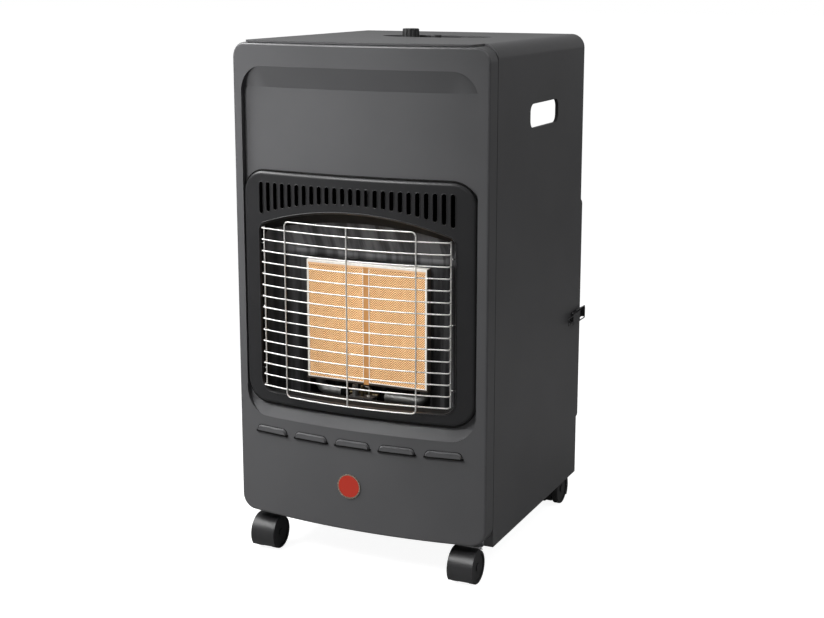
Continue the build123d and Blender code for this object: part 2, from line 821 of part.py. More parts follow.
housing_back = housing_front + housing_depth
with BuildPart() as burner_housing:
    with BuildSketch(Plane.XZ.offset(-housing_front)):
        with Locations((0, burner_z)):
            Rectangle(2 * burner_half, burner_high - burner_low)
    extrude(amount=-housing_depth)
    fillet(burner_housing.faces().sort_by(Axis.Y)[-1].edges(), housing_wall)
    with BuildSketch(Plane.XZ.offset(-back_face)):
        with Locations((0, burner_z)):
            Rectangle(2 * (burner_half + burner_flange), burner_high - burner_low)
    extrude(amount=-sheet)
    # Each plaque sits in a pocket, over a mixing chamber of its own.
    for side in (-1, 1):
        with BuildSketch(Plane.XZ.offset(-housing_front)):
            with Locations((side * plaque_x, plaque_z)):
                Rectangle(plaque_width - 2 * seat_gap, plaque_height - 2 * seat_gap)
        extrude(amount=-(plaque_thick - burner_face - housing_from_front), mode=Mode.SUBTRACT)
        with BuildSketch(Plane.XZ.offset(-housing_front)):
            with Locations((side * plaque_x, plaque_z)):
                Rectangle(plaque_width - 2 * housing_wall, plaque_height - 2 * housing_wall)
        extrude(amount=-(housing_depth - housing_wall), mode=Mode.SUBTRACT)
        with BuildSketch(Plane.XY.offset(base + burner_low - sheet)):
            with Locations((side * tube_riser, front + tube_from_front)):
                Circle(tube_radius - sheet)
        extrude(amount=3 * housing_wall, mode=Mode.SUBTRACT)
burner_housing.part.label = "burner_housing"
export_step(burner_housing.part, "parts/burner_housing.step")

# ---------------------------------------------------------------- mixing tubes
tube_y = front + tube_from_front
tube_z = base + tube_level
for side, tube_end, name in (
    (-1, left_tube_end, "mixing_tube_left"),
    (1, right_tube_end, "mixing_tube_right"),
):
    with BuildLine() as run:
        FilletPolyline(
            (tube_end + side * tube_bell_length, tube_y, tube_z),
            (side * tube_riser, tube_y, tube_z),
            (side * tube_riser, tube_y, base + burner_low),
            radius=tube_bend,
        )
    mouth = Plane(origin=(tube_end, tube_y, tube_z), z_dir=(side, 0, 0))
    with BuildPart() as tube:
        add(swept_wire(run.wires()[0], 2 * tube_radius))
        with BuildSketch(mouth):
            Circle(tube_bell)
        with BuildSketch(mouth.offset(tube_bell_length)):
            Circle(tube_radius)
        loft()
        add(swept_wire(run.wires()[0], 2 * (tube_radius - sheet)), mode=Mode.SUBTRACT)
        with BuildSketch(mouth):
            Circle(tube_bell - sheet)
        with BuildSketch(mouth.offset(tube_bell_length)):
            Circle(tube_radius - sheet)
        loft(mode=Mode.SUBTRACT)
    tube.part.label = name
    export_step(tube.part, f"parts/{name}.step")

# ---------------------------------------------------------------- gas manifold and injectors
manifold_back = tube_y + manifold_size / 2
with BuildPart() as gas_manifold:
    with BuildSketch(Plane.XZ.offset(-tube_y + manifold_size / 2)):
        with Locations((manifold_centre, tube_z)):
            Rectangle(manifold_size, manifold_size)
    extrude(amount=-manifold_size)
    chamfer(gas_manifold.edges().filter_by(Axis.Y), sheet)
    with BuildSketch(Plane.XZ.offset(-manifold_back)):
        with Locations((manifold_centre, tube_z)):
            Circle(supply_bore)
    extrude(amount=manifold_size / 2, mode=Mode.SUBTRACT)
gas_manifold.part.label = "gas_manifold"
export_step(gas_manifold.part, "parts/gas_manifold.step")

with BuildPart() as injectors:
    for side in (-1, 1):
        seat = Plane(
            origin=(manifold_centre + side * manifold_size / 2, tube_y, tube_z), z_dir=(side, 0, 0)
        )
        with BuildSketch(seat):
            RegularPolygon(jet_hexagon, 6)
        extrude(amount=jet_reach / 3)
        with BuildSketch(seat):
            Circle(jet_radius)
        extrude(amount=jet_reach)
    jet_ends = injectors.faces().filter_by(Axis.X).sort_by(Axis.X)
    chamfer(jet_ends[0].edges() + jet_ends[-1].edges(), sheet)
injectors.part.label = "injectors"
export_step(injectors.part, "parts/injectors.step")

# ---------------------------------------------------------------- pipes from the valve
valve_top = top - tray_depth - tray_wall
port_z = valve_top - valve_port_drop
port_y = front + knob_from_front - port_reach
turn_y = front + pipe_turn_from_front
pilot_low = base + reflector_floor - pilot_drop
with BuildLine() as supply_line:
    FilletPolyline(
        (riser_x[1], manifold_back, tube_z),
        (riser_x[1], pipe_y, tube_z),
        (riser_x[1], pipe_y, port_z),
        (riser_x[1], turn_y, port_z),
        (port_x[1], turn_y + 2 * pipe_bend, port_z),
        (port_x[1], port_y, port_z),
        radius=pipe_bend,
    )
with BuildPart() as supply_pipe:
    add(swept_wire(supply_line.wires()[0], 2 * supply_radius))
supply_pipe.part.label = "supply_pipe"
export_step(supply_pipe.part, "parts/supply_pipe.step")


def pilot_line(place, port, riser):
    """Route from under one piece of the pilot, up behind the burner, to its port on the valve."""
    with BuildLine() as path:
        FilletPolyline(
            (place, pilot_y, base + reflector_floor + sheet),
            (place, pilot_y, pilot_low),
            (riser, pipe_y, pilot_low),
            (riser, pipe_y, port_z),
            (riser, turn_y, port_z),
            (port, turn_y + 2 * pipe_bend, port_z),
            (port, port_y, port_z),
            radius=pipe_bend / 2,
        )
    return path.wires()[0]


with BuildPart() as pilot_pipe:
    add(swept_wire(pilot_line(pilot_x[0], port_x[0], riser_x[0]), supply_radius))
pilot_pipe.part.label = "pilot_pipe"
export_step(pilot_pipe.part, "parts/pilot_pipe.step")

# ---------------------------------------------------------------- pilot
pilot_floor = base + reflector_floor
pilot_foot = pilot_floor + sheet
shelf_z = pilot_floor + pilot_rise
tip_z = shelf_z + pilot_height
with BuildPart() as pilot_burner:
    with BuildSketch(Plane.YZ.offset(pilot_x[0] - pilot_margin)):
        with BuildLine():
            Polyline(
                (pilot_y + 2 * pilot_margin, pilot_floor),
                (pilot_y + pilot_margin, pilot_floor),
                (pilot_y + pilot_margin, shelf_z),
                (pilot_y - pilot_margin, shelf_z),
                (pilot_y - pilot_margin, shelf_z + sheet),
                (pilot_y + pilot_margin + sheet, shelf_z + sheet),
                (pilot_y + pilot_margin + sheet, pilot_foot),
                (pilot_y + 2 * pilot_margin, pilot_foot),
                close=True,
            )
        make_face()
    extrude(amount=pilot_x[2] - pilot_x[0] + 2 * pilot_margin)
    with BuildSketch(Plane.XY.offset(shelf_z)):
        with Locations((pilot_x[1], pilot_y)):
            Circle(probe_radius + running)
        with Locations((pilot_x[2], pilot_y)):
            Circle(electrode_radius + running)
    extrude(amount=sheet, mode=Mode.SUBTRACT)
    with BuildSketch(Plane.XY.offset(pilot_foot)):
        with Locations((pilot_x[0], pilot_y)):
            Circle(pilot_radius)
    extrude(amount=tip_z - pilot_margin - pilot_foot)
    # The hood throws the pilot flame towards the probe.
    with BuildSketch(Plane.XY.offset(tip_z - pilot_margin)):
        with Locations((pilot_x[0], pilot_y)):
            Circle(pilot_radius)
            Circle(pilot_radius - sheet, mode=Mode.SUBTRACT)
        with Locations((pilot_x[0] + pilot_radius, pilot_y)):
            Rectangle(pilot_radius, 2 * pilot_radius, mode=Mode.SUBTRACT)
    extrude(amount=pilot_margin)
pilot_burner.part.label = "pilot_burner"
export_step(pilot_burner.part, "parts/pilot_burner.step")

with BuildPart() as thermocouple:
    with BuildSketch(Plane.XY.offset(pilot_foot)):
        with Locations((pilot_x[1], pilot_y)):
            Circle(probe_radius)
    extrude(amount=tip_z - pilot_foot)
    fillet(thermocouple.faces().sort_by(Axis.Z)[-1].edges(), probe_radius / 2)
    add(swept_wire(pilot_line(pilot_x[1], port_x[2], riser_x[2]), 2 * lead_radius))
    with BuildSketch(Plane.XY.offset(shelf_z)):
        with Locations((pilot_x[1], pilot_y)):
            RegularPolygon(probe_radius + sheet, 6)
    extrude(amount=-2 * sheet)
thermocouple.part.label = "thermocouple"
export_step(thermocouple.part, "parts/thermocouple.step")

with BuildPart() as spark_electrode:
    with BuildSketch(Plane.XY.offset(pilot_foot)):
        with Locations((pilot_x[2], pilot_y)):
            Circle(electrode_radius)
    extrude(amount=tip_z - 2 * pilot_margin + 2 * sheet - pilot_foot)
    chamfer(spark_electrode.faces().sort_by(Axis.Z)[-1].edges(), sheet / 2)
    with BuildLine() as spark_path:
        FilletPolyline(
            (pilot_x[2], pilot_y, shelf_z),
            (pilot_x[2], pilot_y, tip_z - sheet),
            (pilot_x[1] + probe_radius + 2 * sheet, pilot_y, tip_z - sheet),
            radius=sheet,
        )
    add(swept_wire(spark_path.wires()[0], sheet))
spark_electrode.part.label = "spark_electrode"
export_step(spark_electrode.part, "parts/spark_electrode.step")

# ---------------------------------------------------------------- igniter
igniter_y = front + button_from_front
igniter_low = valve_top - igniter_length
lead_z = igniter_low - 2 * pipe_bend
with BuildLine() as lead_line:
    FilletPolyline(
        (pilot_x[2], pilot_y, pilot_foot),
        (pilot_x[2], pilot_y, pilot_low),
        (button_x, pipe_y, pilot_low),
        (button_x, pipe_y, lead_z),
        (button_x, igniter_y, lead_z),
        (button_x, igniter_y, igniter_low),
        radius=pipe_bend / 2,
    )
with BuildPart() as ignition_lead:
    add(swept_wire(lead_line.wires()[0], 2 * lead_radius))
ignition_lead.part.label = "ignition_lead"
export_step(ignition_lead.part, "parts/ignition_lead.step")

with BuildPart() as igniter_body:
    with BuildSketch(Plane.XY.offset(igniter_low)):
        with Locations((button_x, igniter_y)):
            Circle(igniter_radius)
    extrude(amount=igniter_length)
    chamfer(igniter_body.faces().sort_by(Axis.Z)[0].edges(), sheet)
    with BuildSketch(Plane.XY.offset(valve_top)):
        with Locations((button_x, igniter_y)):
            Circle(button_radius + running)
    extrude(amount=-(button_root + button_travel + sheet), mode=Mode.SUBTRACT)
igniter_body.part.label = "igniter_body"
export_step(igniter_body.part, "parts/igniter_body.step")

with BuildPart() as igniter_button:
    with BuildSketch(Plane.XY.offset(valve_top - button_root)):
        with Locations((button_x, igniter_y)):
            Circle(button_radius)
    extrude(amount=top + button_top - valve_top + button_root)
    fillet(igniter_button.faces().sort_by(Axis.Z)[-1].edges(), sheet)
igniter_button.part.label = "igniter_button"
export_step(igniter_button.part, "parts/igniter_button.step")

# ---------------------------------------------------------------- control tray
tray_y = front + tray_from_front
knob_y = front + knob_from_front
under_roof = top - sheet
with BuildPart() as control_tray:
    with BuildSketch(Plane.XY.offset(valve_top)):
        with Locations((tray_centre_x, tray_y)):
            Ellipse(tray_length / 2 + tray_wall, tray_breadth / 2 + tray_wall)
    extrude(amount=under_roof - valve_top)
    fillet(control_tray.faces().sort_by(Axis.Z)[0].edges(), tray_wall)
    with BuildSketch(Plane.XY.offset(under_roof - tray_wall)):
        with Locations((tray_centre_x, tray_y)):
            Ellipse(tray_length / 2 + tray_rim, tray_breadth / 2 + tray_rim)
    extrude(amount=tray_wall)
    with BuildSketch(Plane.XY.offset(under_roof)):
        with Locations((tray_centre_x, tray_y)):
            Ellipse(tray_length / 2, tray_breadth / 2)
    extrude(amount=-(under_roof - valve_top - tray_wall), mode=Mode.SUBTRACT)
    with BuildSketch(Plane.XY.offset(valve_top)):
        with Locations((knob_x, knob_y)):
            Circle(spindle_radius + slack)
        with Locations((button_x, igniter_y)):
            Circle(button_radius + slack)
    extrude(amount=tray_wall, mode=Mode.SUBTRACT)
    with BuildSketch(Plane.XY.offset(valve_top + tray_wall)):
        with Locations((pad_x, igniter_y)):
            SlotOverall(pad_length, pad_breadth)
    extrude(amount=top - pad_drop - valve_top - tray_wall)
    fillet(control_tray.faces().filter_by(Plane.XY).sort_by(Axis.Z)[-1].edges(), sheet)
control_tray.part.label = "control_tray"
export_step(control_tray.part, "parts/control_tray.step")

# ---------------------------------------------------------------- gas valve
plunger_top = valve_top - sheet
plunger_room = plunger_height + knob_travel + 2 * sheet
with BuildPart() as gas_valve:
    with BuildSketch(Plane.XY.offset(valve_top)):
        with Locations((knob_x, knob_y)):
            Circle(valve_radius)
    extrude(amount=-valve_height)
    chamfer(gas_valve.faces().sort_by(Axis.Z)[0].edges(), 2 * sheet)
    with BuildSketch(Plane.XZ.offset(-knob_y + port_reach)):
        with Locations((port_x[0], port_z), (port_x[2], port_z)):
            Circle(supply_radius)
        with Locations((port_x[1], port_z)):
            RegularPolygon(supply_radius + 2 * sheet, 6)
    extrude(amount=-port_reach)
    with BuildSketch(Plane.XZ.offset(-knob_y)):
        with Locations((knob_x, port_z)):
            Circle(nozzle_radius + 2 * sheet)
    extrude(amount=-port_reach)
    with BuildSketch(Plane.XY.offset(valve_top)):
        with Locations((knob_x, knob_y)):
            Circle(plunger_radius + running)
    extrude(amount=-plunger_room, mode=Mode.SUBTRACT)
gas_valve.part.label = "gas_valve"
export_step(gas_valve.part, "parts/gas_valve.step")

with BuildPart() as valve_plunger:
    with BuildSketch(Plane.XY.offset(plunger_top)):
        with Locations((knob_x, knob_y)):
            Circle(plunger_radius)
    extrude(amount=-plunger_height)
    with BuildSketch(Plane.XY.offset(plunger_top)):
        with Locations((knob_x, knob_y)):
            Circle(spindle_radius + running)
    extrude(amount=-(plunger_height - 2 * sheet), mode=Mode.SUBTRACT)
valve_plunger.part.label = "valve_plunger"
export_step(valve_plunger.part, "parts/valve_plunger.step")

knob_low = top + knob_top - knob_height
spindle_low = plunger_top - plunger_height + 2 * sheet
spindle_high = top + knob_top - 3 * sheet
with BuildPart() as valve_spindle:
    with BuildSketch(Plane.XY.offset(spindle_low)):
        with Locations((knob_x, knob_y)):
            Circle(spindle_radius)
    extrude(amount=spindle_high - spindle_low)
    # The flat that drives the knob.
    with BuildSketch(Plane.XY.offset(knob_low)):
        with Locations((knob_x, knob_y - spindle_radius)):
            Rectangle(2 * spindle_radius, spindle_radius)
    extrude(amount=spindle_high - knob_low, mode=Mode.SUBTRACT)
valve_spindle.part.label = "valve_spindle"
export_step(valve_spindle.part, "parts/valve_spindle.step")

with BuildPart() as control_knob:
    with BuildSketch(Plane.XY.offset(knob_low)):
        with Locations((knob_x, knob_y)):
            Circle(knob_radius)
    with BuildSketch(Plane.XY.offset(top + knob_top)):
        with Locations((knob_x, knob_y)):
            Circle(knob_radius_top)
    loft()
    fillet(control_knob.faces().sort_by(Axis.Z)[-1].edges(), sheet)
    with BuildSketch(Plane.XY.offset(knob_low)):
        with Locations((knob_x, knob_y)):
            with PolarLocations(knob_radius + sheet / 2, knob_grip_count):
                Circle(2 * sheet)
    extrude(amount=knob_height + sheet, mode=Mode.SUBTRACT)
    with BuildSketch(Plane.XY.offset(knob_low)):
        with Locations((knob_x, knob_y)):
            Circle(spindle_radius + running)
        with Locations((knob_x, knob_y - spindle_radius - running)):
            Rectangle(3 * spindle_radius, spindle_radius, mode=Mode.SUBTRACT)
    extrude(amount=spindle_high - knob_low, mode=Mode.SUBTRACT)
control_knob.part.label = "control_knob"
export_step(control_knob.part, "parts/control_knob.step")

# The inlet nozzle for the gas hose points to the rear.
nozzle_back = knob_y + port_reach
barb_length = (nozzle_length - 2 * sheet) / (nozzle_barbs + 1)
with BuildPart() as hose_nozzle:
    with BuildSketch(Plane.YZ.offset(knob_x)):
        with BuildLine():
            outline = [(nozzle_back, port_z)]
            outline.append((nozzle_back, port_z + nozzle_radius + 2 * sheet))
            outline.append((nozzle_back + 2 * sheet, port_z + nozzle_radius + 2 * sheet))
            outline.append((nozzle_back + 2 * sheet, port_z + nozzle_radius - sheet / 2))
            for barb in range(nozzle_barbs):
                barb_y = nozzle_back + 2 * sheet + (barb + 1) * barb_length
                outline.append((barb_y, port_z + nozzle_radius))
                outline.append((barb_y, port_z + nozzle_radius - sheet / 2))
            outline.append((nozzle_back + nozzle_length, port_z + nozzle_radius - sheet / 2))
            outline.append((nozzle_back + nozzle_length, port_z))
            Polyline(*outline, close=True)
        make_face()
    revolve(axis=Axis((knob_x, 0, port_z), (0, 1, 0)))
    with BuildSketch(Plane.XZ.offset(-nozzle_back - nozzle_length)):
        with Locations((knob_x, port_z)):
            Circle(nozzle_radius / 2)
    extrude(amount=nozzle_length, mode=Mode.SUBTRACT)
hose_nozzle.part.label = "hose_nozzle"
export_step(hose_nozzle.part, "parts/hose_nozzle.step")

# ---------------------------------------------------------------- heat shield and deflector
shield_low = base + sheet
side_lip_gap = side_lip + seat_gap
with BuildPart() as heat_shield:
    with BuildSketch(Plane.XZ.offset(-shield_y)):
        with Locations((0, (shield_low + base + shield_top) / 2)):
            Rectangle(2 * tray_half, base + shield_top - shield_low)
    extrude(amount=-sheet)
    for side in (-1, 1):
        with BuildSketch(Plane.XY.offset(base + side_lip_gap)):
            with Locations((side * (tray_half - sheet / 2), shield_y + shield_flange / 2)):
                Rectangle(sheet, shield_flange)
        extrude(amount=shield_top - side_lip_gap)
        with BuildSketch(Plane.XY.offset(base)):
            with Locations((side * tray_half, shield_y + sheet)):
                Rectangle(2 * (sheet + seat_gap), 4 * sheet)
        extrude(amount=side_lip_gap, mode=Mode.SUBTRACT)
    for z in (shield_low, base + shield_top - sheet):
        with BuildSketch(Plane.XY.offset(z)):
            with Locations((0, shield_y + shield_flange / 2)):
                Rectangle(2 * (tray_half - 2 * sheet), shield_flange)
        extrude(amount=sheet)
heat_shield.part.label = "heat_shield"
export_step(heat_shield.part, "parts/heat_shield.step")

deflector_half = half_width - edge_flange - seat_gap
with BuildPart() as heat_deflector:
    with BuildSketch(Plane.YZ.offset(-deflector_half)):
        with BuildLine():
            low_z = base + deflector_low
            high_z = base + deflector_high
            ahead = front - 2 * panel_return
            Polyline(
                (ahead, low_z),
                (front - panel_return, low_z),
                (shield_y - sheet, high_z),
                (shield_y - sheet, high_z + shield_flange),
                (shield_y, high_z + shield_flange),
                (shield_y, high_z - sheet),
                (front - panel_return, low_z - sheet),
                (ahead, low_z - sheet),
                close=True,
            )
        make_face()
    extrude(amount=2 * deflector_half)
    add(bowed_block(skin_gap, base, top, shield_y, half_width), mode=Mode.INTERSECT)
    # The pipes and the lead rise through a slot at the rear edge.
    slot_low = riser_x[0] - 2 * supply_radius
    slot_high = riser_x[3] + 2 * supply_radius
    with BuildSketch(Plane.XY.offset(low_z - 2 * sheet)):
        with Locations(((slot_low + slot_high) / 2, pipe_y)):
            SlotOverall(slot_high - slot_low, 3 * supply_radius)
    extrude(amount=high_z - low_z + 3 * sheet, mode=Mode.SUBTRACT)
heat_deflector.part.label = "heat_deflector"
export_step(heat_deflector.part, "parts/heat_deflector.step")

# ---------------------------------------------------------------- rear cover
cover_half = half_width - slack
cover_front = rear + cover_gap
cover_back = rear + cover_proud
cover_z = base + (cover_low + cover_high) / 2
with BuildPart() as rear_cover:
    with BuildSketch(Plane.XZ.offset(-cover_front)):
        with Locations((0, cover_z)):
            RectangleRounded(2 * cover_half, cover_high - cover_low, cover_corner)
    extrude(amount=-(cover_back - cover_front))
    fillet(rear_cover.faces().sort_by(Axis.Y)[-1].edges(), cover_edge)
    with BuildSketch(Plane.XZ.offset(-cover_front)):
        with Locations((0, cover_z)):
            RectangleRounded(
                2 * (cover_half - sheet), cover_high - cover_low - 2 * sheet, cover_corner - sheet
            )
    extrude(amount=-(cover_back - cover_front - sheet), mode=Mode.SUBTRACT)
    # Two columns of air slots.
    with BuildSketch(Plane.XZ.offset(-cover_back)):
        with Locations((0, cover_z)):
            with GridLocations(half_width, cover_vent_pitch, 2, cover_vent_count):
                SlotOverall(cover_vent_length, cover_vent_width)
    extrude(amount=2 * sheet, mode=Mode.SUBTRACT)
rear_cover.part.label = "rear_cover"
export_step(rear_cover.part, "parts/rear_cover.step")

# ---------------------------------------------------------------- hinges
hinge_x = -(half_width + side_proud - hinge_barrel)
hinge_y = rear + slack
hinge_places = [base + cover_low + hinge_inset, base + cover_high - hinge_inset]
knuckle = (hinge_height - seat_gap) / 2
with BuildPart() as hinge_fixed:
    for z in hinge_places:
        low = z - hinge_height / 2
        with BuildSketch(Plane.XY.offset(low)):
            with Locations((hinge_x, hinge_y)):
                Circle(hinge_barrel)
            with BuildLine():
                leaf_back = hinge_y - hinge_barrel
                Polyline(
                    (-half_width, leaf_back),
                    (-half_width, leaf_back - hinge_leaf),
                    (-half_width - sheet, leaf_back - hinge_leaf),
                    (-half_width - sheet, leaf_back - sheet),
                    (hinge_x - hinge_barrel / 2, hinge_y),
                    (hinge_x, hinge_y),
                    close=True,
                )
            make_face()
        extrude(amount=knuckle)
        with BuildSketch(Plane.XY.offset(low + knuckle)):
            with Locations((-half_width - sheet / 2, leaf_back - (hinge_leaf + sheet) / 2)):
                Rectangle(sheet, hinge_leaf - sheet)
        extrude(amount=knuckle + seat_gap)
        with BuildSketch(Plane.XY.offset(low)):
            with Locations((hinge_x, hinge_y)):
                Circle(hinge_pin_radius)
        extrude(amount=hinge_height, mode=Mode.SUBTRACT)
hinge_fixed.part.label = "hinge_fixed"
export_step(hinge_fixed.part, "parts/hinge_fixed.step")

with BuildPart() as hinge_door:
    for z in hinge_places:
        low = z + hinge_height / 2 - knuckle
        with BuildSketch(Plane.XY.offset(low)):
            with Locations((hinge_x, hinge_y)):
                Circle(hinge_barrel)
            with BuildLine():
                leaf_front = cover_front + seat_gap
                leaf_end = cover_back - cover_edge
                Polyline(
                    (-cover_half, leaf_front),
                    (-cover_half, leaf_end),
                    (-cover_half - sheet, leaf_end),
                    (-cover_half - sheet, hinge_y + hinge_barrel),
                    (hinge_x, hinge_y + hinge_barrel),
                    (hinge_x, leaf_front),
                    close=True,
                )
            make_face()
        extrude(amount=knuckle)
        with BuildSketch(Plane.XY.offset(low)):
            with Locations((hinge_x, hinge_y)):
                Circle(hinge_pin_radius + running)
        extrude(amount=knuckle, mode=Mode.SUBTRACT)
hinge_door.part.label = "hinge_door"
export_step(hinge_door.part, "parts/hinge_door.step")

with BuildPart() as hinge_pins:
    for z in hinge_places:
        with BuildSketch(Plane.XY.offset(z - hinge_height / 2)):
            with Locations((hinge_x, hinge_y)):
                Circle(hinge_pin_radius)
        extrude(amount=hinge_height + hinge_pin_margin)
    pin_ends = hinge_pins.faces().filter_by(Plane.XY).group_by(SortBy.AREA)[0]
    fillet(pin_ends.edges(), hinge_pin_radius / 4)
hinge_pins.part.label = "hinge_pins"
export_step(hinge_pins.part, "parts/hinge_pins.step")

# ---------------------------------------------------------------- latch
latch_z = base + latch_level
latch_x = half_width + side_proud - 3 * sheet
latch_y = rear - latch_pivot_back
ear_radius = latch_x - half_width - 3 * sheet / 2
base_ear_radius = ear_radius - sheet / 2
lever_front = latch_y - latch_handle
lever_plate_front = latch_y - latch_lever_plate
lever_web = half_width + side_proud - sheet
lever_web_rear = latch_y - base_ear_radius  # the turned web clears the base's ears
pin_reach = latch_lever_half - sheet / 4
with BuildPart() as latch_base:
    with BuildSketch(Plane.YZ.offset(half_width)):
        with Locations((latch_y - latch_base_length / 2 + latch_pivot_back - 3 * sheet, latch_z)):
            RectangleRounded(latch_base_length, latch_base_width, 2 * sheet)
    extrude(amount=sheet)
    for side in (-1, 1):
        with BuildSketch(Plane.XY.offset(latch_z + side * latch_ear - sheet / 2)):
            with Locations((latch_x, latch_y)):
                Circle(base_ear_radius)
            with Locations(((half_width + latch_x) / 2, latch_y)):
                Rectangle(latch_x - half_width, 2 * base_ear_radius)
        extrude(amount=sheet)
    with BuildSketch(Plane.XY.offset(latch_z - pin_reach)):
        with Locations((latch_x, latch_y)):
            Circle(latch_pin_radius)
    extrude(amount=2 * pin_reach)
latch_base.part.label = "latch_base"
export_step(latch_base.part, "parts/latch_base.step")

bail_y = latch_y - latch_arm
with BuildPart() as latch_lever:
    with BuildSketch(Plane.YZ.offset(lever_web)):
        with Locations(((lever_plate_front + lever_web_rear) / 2, latch_z)):
            Rectangle(lever_web_rear - lever_plate_front, 2 * latch_lever_half)
    extrude(amount=sheet)
    for side in (-1, 1):
        ear_plane = Plane.XY.offset(latch_z + side * (latch_lever_half - sheet / 2) - sheet / 2)
        with BuildSketch(ear_plane):
            with Locations((latch_x, latch_y)):
                Circle(ear_radius)
            with BuildLine():
                Polyline(
                    (latch_x - ear_radius, latch_y),
                    (latch_x - ear_radius, bail_y - ear_radius),
                    (lever_web + sheet, lever_plate_front),
                    (lever_web + sheet, latch_y),
                    close=True,
                )
            make_face()
            with Locations((latch_x, bail_y)):
                Circle(bail_wire / 2 + running, mode=Mode.SUBTRACT)
            with Locations((latch_x, latch_y)):
                Circle(latch_pin_radius + running, mode=Mode.SUBTRACT)
        extrude(amount=sheet)
    # The finger loop is bent from wire.
    loop_x = lever_web + sheet / 2
    with BuildLine() as finger_line:
        FilletPolyline(
            (loop_x, lever_plate_front + latch_ear, latch_z - latch_ear),
            (loop_x, lever_front, latch_z - latch_ear),
            (loop_x, lever_front, latch_z + latch_ear),
            (loop_x, lever_plate_front + latch_ear, latch_z + latch_ear),
            radius=2 * sheet,
        )
    add(swept_wire(finger_line.wires()[0], sheet))
latch_lever.part.label = "latch_lever"
export_step(latch_lever.part, "parts/latch_lever.step")

crossbar_y = rear + rear_proud - bail_wire / 2
bail_half = latch_lever_half + bail_wire / 2 + slack
with BuildPart() as latch_bail:
    with BuildLine() as bail_line:
        FilletPolyline(
            (latch_x, bail_y, latch_z - pin_reach + sheet),
            (latch_x, bail_y, latch_z - bail_half),
            (latch_x, crossbar_y, latch_z - bail_half),
            (latch_x, crossbar_y, latch_z + bail_half),
            (latch_x, bail_y, latch_z + bail_half),
            (latch_x, bail_y, latch_z + pin_reach - sheet),
            radius=bail_wire / 2 + running,
        )
    add(swept_wire(bail_line.wires()[0], bail_wire))
latch_bail.part.label = "latch_bail"
export_step(latch_bail.part, "parts/latch_bail.step")

keeper_back = crossbar_y - bail_wire / 2 - seat_gap
with BuildPart() as latch_keeper:
    with BuildSketch(Plane.XY.offset(latch_z - latch_keeper_half)):
        with BuildLine():
            Polyline(
                (cover_half, cover_front + sheet),
                (cover_half + sheet, cover_front + sheet),
                (cover_half + sheet, keeper_back - sheet),
                (half_width + latch_keeper_reach, keeper_back - sheet),
                (half_width + latch_keeper_reach, keeper_back),
                (cover_half, keeper_back),
                close=True,
            )
        make_face()
    extrude(amount=2 * latch_keeper_half)
latch_keeper.part.label = "latch_keeper"
export_step(latch_keeper.part, "parts/latch_keeper.step")

# ---------------------------------------------------------------- casters
caster_front_y = front + caster_from_front
caster_rear_y = rear - caster_from_rear
caster_x = half_width - caster_inset
caster_places = {
    "front_left": (-caster_x, caster_front_y, -1),
    "front_right": (caster_x, caster_front_y, -1),
    "rear_left": (-caster_x, caster_rear_y, 1),
    "rear_right": (caster_x, caster_rear_y, 1),
}
plate_low = base - caster_plate_thick
boss_top = plate_low - seat_gap
stem_low = plate_low - stem_length
caster_spots = [place[:2] for place in caster_places.values()]
with BuildPart() as caster_plates:
    with BuildSketch(Plane.XY.offset(plate_low)):
        with Locations(*caster_spots):
            RectangleRounded(caster_plate, caster_plate, 2 * caster_plate_thick)
    extrude(amount=caster_plate_thick)
caster_plates.part.label = "caster_plates"
export_step(caster_plates.part, "parts/caster_plates.step")

with BuildPart() as caster_stems:
    with BuildSketch(Plane.XY.offset(stem_low)):
        with Locations(*caster_spots):
            Circle(stem_radius)
    extrude(amount=stem_length)
caster_stems.part.label = "caster_stems"
export_step(caster_stems.part, "parts/caster_stems.step")

